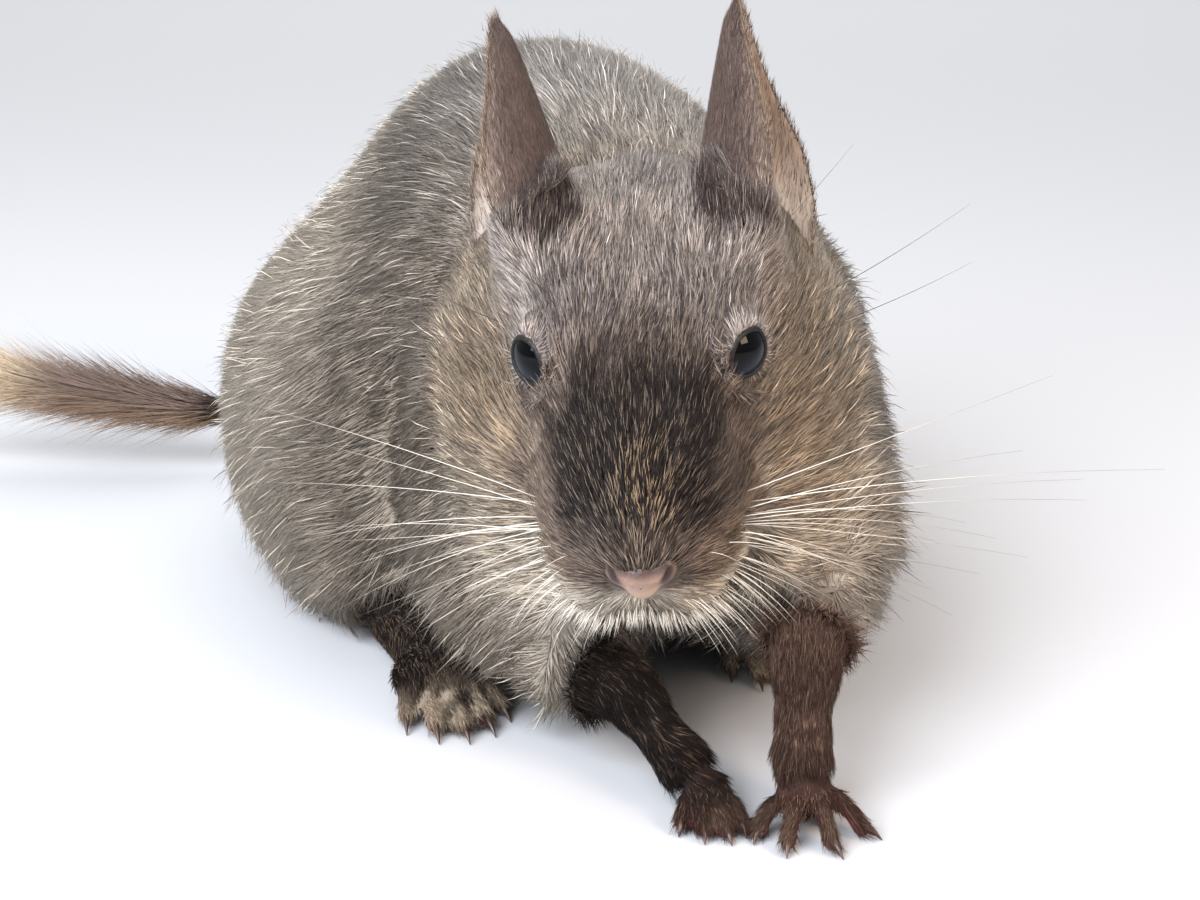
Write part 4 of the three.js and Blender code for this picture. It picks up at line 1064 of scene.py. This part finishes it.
# Lids: a thin roll of bare skin on the ball round the opening, its outer edge under the fur
def buildLids(side, s, columns=96):
    angle = np.linspace(0, 2 * np.pi, columns, endpoint=False)
    x, y = np.cos(angle), np.sin(angle)
    edge = rimAt(x, y, s)
    wave = 1 + 0.05 * np.sin(7 * angle) + 0.04 * np.sin(12 * angle + 1)
    rings = []
    for step, lift in zip(lids["outwards"], lids["lifts"]):
        away = edge + step
        height = np.sqrt(eye["radius"] ** 2 - away**2)
        grow = 1 + lift * wave / eye["radius"]
        rings.append(np.stack([x * away * grow, y * away * grow, height * grow], -1))
    points = np.concatenate(rings)
    around, last = np.arange(columns), (len(rings) - 1) * columns
    after = (around + 1) % columns
    closing = np.stack([last + around, last + after, after, around], 1)
    quads = np.concatenate([grid(len(rings), columns, wrap=True), closing])
    middle = np.tile(0.5 * (rings[0] + rings[-1]), (len(rings), 1))
    quads = facing(points, quads, points - middle)
    outer = ease(0.1, 0.5, np.repeat(lids["outwards"], columns))
    colour = mix(linear(lids["edge"]), linear(lids["skin"]), outer)
    colour = colour * (1 + 0.12 * ripple(points, 0.5, 51)[:, None])
    return makePiece("thin_lids_" + side, eyePlaces[side] + points @ eyeAxes(s).T, quads, colour)


eyePieces = [buildEye(side, s) for side, s in hands.items()]
lidPieces = [buildLids(side, s) for side, s in hands.items()]
print("eyes and lids made")

# Nose: a bare moist pad between two wings, with slanted nostrils and the cleft under it
nose = {
    "middle": (0, -19.4, -8.4),
    "place": (0.3, -0.35, 0.0),  # the whole pad's shift from the middle of the face
    "pads": [
        ((0, -21.1, -8.5), (2.5, 2.2, 2.0)),
        ((2.4, -20.7, -7.9), (1.3, 1.8, 1.5)),
        ((-2.4, -20.7, -7.9), (1.3, 1.8, 1.5)),
        ((0, -21.6, -9.9), (1.3, 1.5, 1.4)),
    ],
    "nostril": ((2.2, -23.3, -8.6), (3.0, -22.0, -7.2), 0.28),
    "cleft": ((0, -23.7, -10.3), (0, -22.6, -13.5), 0.22),
    "top": "8f7568",
    "front": "baa08d",
    "wings": "6f5a50",
    "underFur": "46342f",
    # within: the painted shade inside the nostrils
    "within": "241614",
}


def softMin(a, b, k):
    h = np.maximum(k - np.abs(a - b), 0) / k
    return np.minimum(a, b) - h * h * k / 4


def ballField(points, middle, radii):
    p = (points - middle) / radii
    near = np.linalg.norm(p, axis=1)
    return near * (near - 1) / np.maximum(np.linalg.norm(p / radii, axis=1), 1e-9)


def nostrilField(points):
    start, end, thick = nose["nostril"]
    mirrored = points * np.where(points[:, :1] < 0, (-1, 1, 1), 1)
    return fromLine(mirrored, np.array(start), np.array(end))[0] - thick


def noseOpened(points):
    away = ballField(points, *nose["pads"][0])
    for pad in nose["pads"][1:]:
        away = softMin(away, ballField(points, *pad), 1.1)
    away = -softMin(-away, nostrilField(points), 0.4)
    start, end, thick = nose["cleft"]
    return -softMin(-away, fromLine(points, np.array(start), np.array(end))[0] - thick, 0.5)


def buildNose(rows=110, columns=160):
    turns = np.linspace(0, 2 * np.pi, columns + 1)[:-1]
    turn, tilt = np.meshgrid(turns, np.linspace(0.02, 2.1, rows))
    rays = np.stack([np.sin(tilt) * np.cos(turn), -np.cos(tilt), np.sin(tilt) * np.sin(turn)], -1)
    rays = rays.reshape(-1, 3)
    middle = np.array(nose["middle"])
    low = np.full(len(rays), 0.5)
    for step in np.linspace(0.6, 8, 75):
        low = np.where(noseOpened(middle + rays * step) < 0, step, low)
    high = low + 0.1
    for _ in range(12):
        half = (low + high) / 2
        inside = noseOpened(middle + rays * half[:, None]) < 0
        low, high = np.where(inside, half, low), np.where(inside, high, half)
    points = middle + rays * low[:, None]
    quads = facing(points, grid(rows, columns, wrap=True), rays)
    edges = ease(1.3, 2.7, np.abs(points[:, 0]))
    colour = mix(linear(nose["top"]), linear(nose["front"]), ease(-8, -9.6, points[:, 2]))
    colour = mix(colour, linear(nose["wings"]), edges)
    colour = mix(colour, linear(nose["underFur"]), ease(-7.9, -6.9, points[:, 2] - 0.25 * edges))
    # painted shade inside the nostrils' grooves
    colour = mix(colour, linear(nose["within"]), ease(0.4, -0.05, nostrilField(points)))
    colour = colour * (1 + 0.07 * ripple(points, 1.2, 41)[:, None])
    return makePiece("nose_pad", onHeadAll(points + nose["place"]), quads, colour)


nosePiece = buildNose()
print("nose made")


# Whiskers: rows of thin curved hairs from the pads, long behind and short in front, with the longer
# hairs of the brows and cheeks and the white fringe of the upper lip
def skinNear(points):
    onHeadSkin = np.linalg.norm(skinPoints - headPlace, axis=1) < 45
    candidates = skinPoints[onHeadSkin]
    index = [((candidates - p) ** 2).sum(1).argmin() for p in points]
    return candidates[index], skinNormals[onHeadSkin][index]


whisker = {
    "rows": 5,
    "columns": 6,
    "radius": 0.058,
    "longest": 47,
    "furthest": 13.5,  # past the solids' box, to its left and right
    "front": (6.6, -18.6),  # out and back, in the head's own millimetres
    "rear": (9.8, -11),
    "top": -8.6,
    "rowHeight": 1.75,
    "shades": (linear("f1ece2"), linear("cfc4b6"), linear("4b4039")),
}


def hairs(name, roots, directions, lengths, sag, radius, shadesAlong, steps=12):
    points, faces, colours = [], [], []
    t = np.linspace(0, 1, steps)[:, None]
    channels = np.transpose(shadesAlong)
    hue = np.stack([np.interp(t[:, 0], [0, 0.45, 1], channel) for channel in channels], 1)
    for i, (root, direction, reach, bow) in enumerate(zip(roots, directions, lengths, sag)):
        path = root - direction * 0.8 + direction * reach * t + bow * reach * t**2
        thick = radius * min(1, 0.55 + reach / 40)
        made, triangles = tubeAlong(path, thick * (1 - 0.85 * t[:, 0] ** 1.3), 4)
        points.append(made)
        faces.append(triangles + i * len(made))
        colours.append(np.repeat(hue, 4, axis=0))
    points = np.concatenate(points)
    patches = unwrapped(points, faceMiddle, headAxis)
    return makePiece(name, points, np.concatenate(faces), np.concatenate(colours), patches)


def buildWhiskers(s):
    guesses, directions, sag, lengths = [], [], [], []
    for row in range(whisker["rows"]):
        for column in range(whisker["columns"]):
            back = column / (whisker["columns"] - 1)
            out, rear = mix(np.array(whisker["front"]), np.array(whisker["rear"]), back)
            rear = rear + 0.3 * rng.normal()
            high = whisker["top"] - whisker["rowHeight"] * row + 0.3 * rng.normal()
            guesses.append(onHead(s * out, rear, high))
            lift = 0.35 - 0.2 * row - 0.45 * (1 - back) * (row > 0)
            turn = -0.3 + 0.45 * back + 0.1 * rng.normal()
            directions.append(unit(headTurn @ (s, turn, lift + 0.1 * rng.normal())))
            reach = whisker["longest"] * (0.16 + 0.84 * back**1.2) * (1 - 0.11 * abs(row - 1))
            lengths.append(reach * rng.uniform(0.75, 1.05))
            backwards = headTurn @ (0, 0.1 + 0.14 * rng.uniform(), 0)
            down = -0.12 - 0.14 * rng.uniform() - 0.35 * (1 - back)
            sag.append(backwards + above(down))
    roots, _ = skinNear(guesses)
    lengths = np.array(lengths)
    limit = (cadBox[1].x if s > 0 else cadBox[0].x) / mm + s * whisker["furthest"]
    ends = roots[:, 0] + (np.array(directions) + sag)[:, 0] * lengths
    past = s * ends > s * limit
    lengths[past] *= ((limit - roots[:, 0]) / (ends - roots[:, 0]))[past]
    name = "fine_whiskers_" + ("left" if s > 0 else "right")
    return hairs(name, roots, directions, lengths, sag, whisker["radius"], whisker["shades"])


brow = {
    "hairs": [  # out, back, up, then the way they point and how far they reach
        (8, 2.5, 5, 0.5, 1, 17),
        (8.5, 4.5, 4.6, 0.9, 0.8, 21),
        (12, 9, -4, 1.3, 0.5, 23),
        (14, 8, -9, 1.4, 0.25, 20),
    ],
    "radius": 0.055,
    "shade": linear("3d342f"),
}


def buildBrowHairs():
    guesses, directions, lengths = [], [], []
    for s in (1, -1):
        for x, y, z, out, up, reach in brow["hairs"]:
            guesses.append(onHead(s * x, y, z))
            directions.append(unit(headTurn @ (s * out, 0.3, up)))
            lengths.append(reach * rng.uniform(0.85, 1.1))
    sag = [headTurn @ (0, 0.22, -0.08)] * len(lengths)
    places, dark = skinNear(guesses)[0], brow["shade"]
    shadesAlong = (dark * 1.3, dark, dark)
    return hairs("brow_hairs", places, directions, lengths, sag, brow["radius"], shadesAlong)


lip = {
    "fringe": 420,  # short hairs
    "curved": 54,  # longer ones at the sides
    "radius": 0.075,
    "half": 6.4,  # half of the lip's width, then its place on the head
    "front": -20.7,
    "low": -13.8,
    "shade": linear("e8e0d3"),
}


def lipPlaces(x):
    return onHeadAll(np.stack([x, lip["front"] + 0.07 * x**2, lip["low"] - 0.012 * x**2], 1))


def buildLipFringe():
    many = lip["fringe"]
    x = rng.uniform(-lip["half"], lip["half"], many)
    spots, turns = skinNear(lipPlaces(x) + 0.35 * rng.normal(size=(many, 3)))
    downwards = np.stack([0.13 * x, -0.3 + 0 * x, -1 + 0 * x], 1) @ headTurn.T
    lie = unit(downwards + 0.16 * rng.normal(size=(many, 3)))
    reach = (2.2 + 0.2 * np.abs(x)) * rng.uniform(0.6, 1.25, many)
    shade = lip["shade"] * rng.uniform(0.8, 1.05, many)[:, None]
    patches = unwrapped(spots, faceMiddle, headAxis)
    rise, width = rng.uniform(0.2, 0.9, many), np.full(many, 0.1)
    made = tufts(spots, turns, lie, reach, rise, width, (shade * 0.6, shade, shade), patches)
    return makePiece("coat_lip_fringe", *made)


def buildLipHairs():
    x = np.concatenate([s * rng.uniform(3.2, lip["half"] + 1.5, lip["curved"] // 2) for s in (1, -1)])
    spots, _ = skinNear(lipPlaces(x) + headTurn @ (0, 0, 1.2) * rng.uniform(0, 1.6, len(x))[:, None])
    out = np.sign(x) * (0.35 + 0.12 * np.abs(x)) + 0.12 * rng.normal(size=len(x))
    down = -0.25 + 0.2 * rng.normal(size=len(x))
    directions = unit(np.stack([out, -0.55 + 0 * x, down], 1) @ headTurn.T)
    sag = np.stack([-0.1 * out, 0.12 + 0 * x, -0.55 + 0 * x], 1) @ headTurn.T
    reach = (2.2 + 0.85 * np.abs(x)) * rng.uniform(0.7, 1.2, len(x))
    shadesAlong = (lip["shade"], lip["shade"], lip["shade"] * 0.8)
    return hairs("lip_hairs", spots, directions, reach, sag, lip["radius"], shadesAlong)


whiskerPieces = [buildWhiskers(1), buildWhiskers(-1)]
longHairs = [buildBrowHairs(), buildLipHairs()]
lipFringe = buildLipFringe()
print("whiskers made")

# Claws: curved dark horn from inside each digit to its point
claw = {"thick": 0.42, "inside": 1.1, "arch": 0.35, "steps": 16, "lowest": 0.02}


def buildClaws(name):
    points, faces = [], []
    for i, (knuckle, tip, point) in enumerate(digits[name]):
        ahead = unit(point - tip)
        start = tip - claw["inside"] * ahead + above(0.25)
        bend = mix(tip, point, 0.45) + above(claw["arch"])
        path = smoothPath([start, bend, point - above(0.15)], claw["steps"])
        taper = 1 - np.linspace(0, 1, claw["steps"]) ** 2.2
        made, triangles = tubeAlong(path, claw["thick"] * taper + 0.05, 12)
        made[:, 2] = np.maximum(made[:, 2], claw["lowest"])
        points.append(made)
        faces.append(triangles + i * len(made))
    return np.concatenate(points), np.concatenate(faces)


clawPieces = []
for name in limbs:
    foot = ("fore_" if name.startswith("fore") else "hind_") + name[4:].lower()
    stoodFor = [node for node in sorted(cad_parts) if node.startswith("claw_" + foot)]
    clawPieces.append((makePiece("claws_" + foot, *buildClaws(name)), stoodFor))
print("claws made")


# Materials
def addNode(tree, kind, values=None, links=None, **settings):
    made = tree.nodes.new(kind)
    for name, value in settings.items():
        setattr(made, name, value)
    for name, value in (values or {}).items():
        made.inputs[name].default_value = value
    for name, source in (links or {}).items():
        tree.links.new(source, made.inputs[name])
    return made


def rgba(colour):
    return (*linear(colour), 1)


def newMaterial(name, values):
    material = bpy.data.materials.new(name)
    material.use_nodes = True
    shader = material.node_tree.nodes["Principled BSDF"]
    for socket, value in values.items():
        shader.inputs[socket].default_value = value
    return material, material.node_tree, shader


def noiseIn(tree, scale):
    spot = {"Vector": addNode(tree, "ShaderNodeTexCoord").outputs["Object"]}
    noise = addNode(tree, "ShaderNodeTexNoise", {"Scale": scale, "Detail": 3.0}, spot)
    return noise.outputs["Fac"]


def raised(tree, shader, height, strength, distance):
    sizes = {"Strength": strength, "Distance": distance}
    bump = addNode(tree, "ShaderNodeBump", sizes, {"Height": height})
    tree.links.new(bump.outputs["Normal"], shader.inputs["Normal"])


# A material that shows the piece's own colours. Some are unevened by a grain, given by the colours'
# gain, its strength and how many grains come to the metre, and some have bumps of that grain, given
# by their strength and depth.
def coloured(name, values, grain=None, bumps=None):
    material, tree, shader = newMaterial(name, values)
    colour = addNode(tree, "ShaderNodeVertexColor", layer_name="Coat").outputs["Color"]
    if grain:
        gain, strength, scale = grain
        noise = noiseIn(tree, scale)
        span = {"To Min": gain * (1 - strength), "To Max": gain * (1 + strength)}
        tone = addNode(tree, "ShaderNodeMapRange", span, {"Value": noise})
        scaled = {0: colour, "Scale": tone.outputs["Result"]}
        uneven = addNode(tree, "ShaderNodeVectorMath", links=scaled, operation="SCALE")
        colour = uneven.outputs["Vector"]
    if bumps:
        raised(tree, shader, noise, *bumps)
    tree.links.new(colour, shader.inputs["Base Color"])
    return material


# Keratin hair, softly glossy along its length; its colour comes with each tuft
hairValues = {"Roughness": 0.55, "IOR": 1.55, "Specular IOR Level": 0.22}
hair = coloured("ticked keratin hair", hairValues, (1.0, 0.12, 700))

# Skin under the coat: matt and darker than the hair, with the grain of short hair lying on it
skinValues = {"Roughness": 0.8, "IOR": 1.4}
underSkin = coloured("furred skin", skinValues, (0.6, 0.3, 1400), (0.5, 0.0003))

# Ear skin: thin and leathery, a little light comes through it
earValues = {"Roughness": 0.62, "IOR": 1.4, "Subsurface Weight": 0.12, "Subsurface Scale": 0.0015}
earSkin = coloured("thin ear skin", earValues, (1.0, 0.16, 1600), (0.4, 0.0002))

# Eye: near-black brown under a tear film, a mirror for the lights
wetEye = coloured("wet dark eye", {"Roughness": 0.03, "IOR": 1.34, "Specular IOR Level": 0.3})

# Lids: bare dark skin, moist at the edge, finely creased
lidValues = {"Roughness": 0.45, "IOR": 1.4}
lidSkin = coloured("dark lid skin", lidValues, (1.0, 0.3, 2600), (0.5, 0.0002))

# Nose pad: bare dusky skin, finely pebbled and moist
noseValues = {"Roughness": 0.42, "IOR": 1.4, "Coat Weight": 0.2, "Coat Roughness": 0.25}
noseValues.update({"Subsurface Weight": 0.06, "Subsurface Scale": 0.001})
noseSkin = coloured("moist nose skin", noseValues, (1.0, 0.08, 1200))
tree = noseSkin.node_tree
spot = {"Vector": addNode(tree, "ShaderNodeTexCoord").outputs["Object"]}
pebbles = addNode(tree, "ShaderNodeTexVoronoi", {"Scale": 3200.0}, spot)
raised(tree, tree.nodes["Principled BSDF"], pebbles.outputs["Distance"], 0.35, 0.00015)

# Horn of the claws: dark brown and smooth, paler in streaks
horn, tree, shader = newMaterial("dark claw horn", {"Roughness": 0.3, "IOR": 1.54})
streaks = {"A": rgba("1f1613"), "B": rgba("5c4338")}
ramp = addNode(tree, "ShaderNodeMix", streaks, {"Factor": noiseIn(tree, 900.0)}, data_type="RGBA")
tree.links.new(ramp.outputs["Result"], shader.inputs["Base Color"])

# Whiskers: pale stiff keratin that darkens to its tip
whiskerHair = coloured("whisker keratin", {"Roughness": 0.35, "IOR": 1.55})

skin = makePiece("skin", skinPoints, skinTriangles, skinColours)
dress(skin, underSkin, "coat", *flesh, *feet, *tailNodes)
for piece, slot in coatPieces:
    dress(piece, hair, slot)
dress(brush, hair, "tail_coat")
for side, piece, coatPiece in zip(hands, earPieces, earCoats):
    dress(piece, earSkin, "ear_skin", "ear_" + side)
    dress(coatPiece, hair, "ear_skin")
for side, ball, lid, fine in zip(hands, eyePieces, lidPieces, whiskerPieces):
    dress(ball, wetEye, "eye", "eye_" + side)
    dress(lid, lidSkin, "lid_skin", "lids_" + side)
    dress(fine, whiskerHair, "whisker", "whiskers_" + side)
dress(nosePiece, noseSkin, "face_coat")
for piece in longHairs:
    dress(piece, whiskerHair, "whisker")
dress(lipFringe, hair, "face_coat")
for piece, names in clawPieces:
    dress(piece, horn, "claw", *names)
print("pieces dressed")

# Floor and light: a plain pale floor under soft studio light
corners = np.array([(-2000, -2000, 0), (2000, -2000, 0), (2000, 3000, 0), (-2000, 3000, 0)], float)
floor = makePiece("floor", corners, [[0, 1, 2, 3]])
floorValues = {"Base Color": rgba("bfc0c3"), "Roughness": 0.9}
floor.data.materials.append(newMaterial("pale matt floor", floorValues)[0])

lights = {
    "window": {"at": (-260, -240, 330), "size": 0.42, "power": 5.4, "colour": "f4f8ff"},
    "lamp": {"at": (300, -180, 240), "size": 0.16, "power": 1.2, "colour": "ffe6cf"},
    "glint": {"at": (30, -200, 300), "size": 0.03, "power": 0.12, "colour": "ffffff"},
    "ceiling": {"at": (0, 900, 900), "size": 1.6, "power": 14, "colour": "ffffff"},
}
for name, light in lights.items():
    lamp = bpy.data.lights.new(name, "AREA")
    lamp.size = light["size"]
    lamp.energy = light["power"]
    lamp.color = linear(light["colour"])
    holder = bpy.data.objects.new(name, lamp)
    holder.location = place(*light["at"]) * mm
    toAnimal = place(0, 50, 35) * mm - np.array(holder.location)
    holder.rotation_mode = "QUATERNION"
    holder.rotation_quaternion = Vector(toAnimal).to_track_quat("-Z", "Y")
    bpy.context.scene.collection.objects.link(holder)
world = bpy.data.worlds.new("soft room")
world.use_nodes = True
world.node_tree.nodes["Background"].inputs["Color"].default_value = rgba("f3f5f8")
world.node_tree.nodes["Background"].inputs["Strength"].default_value = 0.5
bpy.context.scene.world = world
bpy.context.scene.view_settings.view_transform = "Standard"
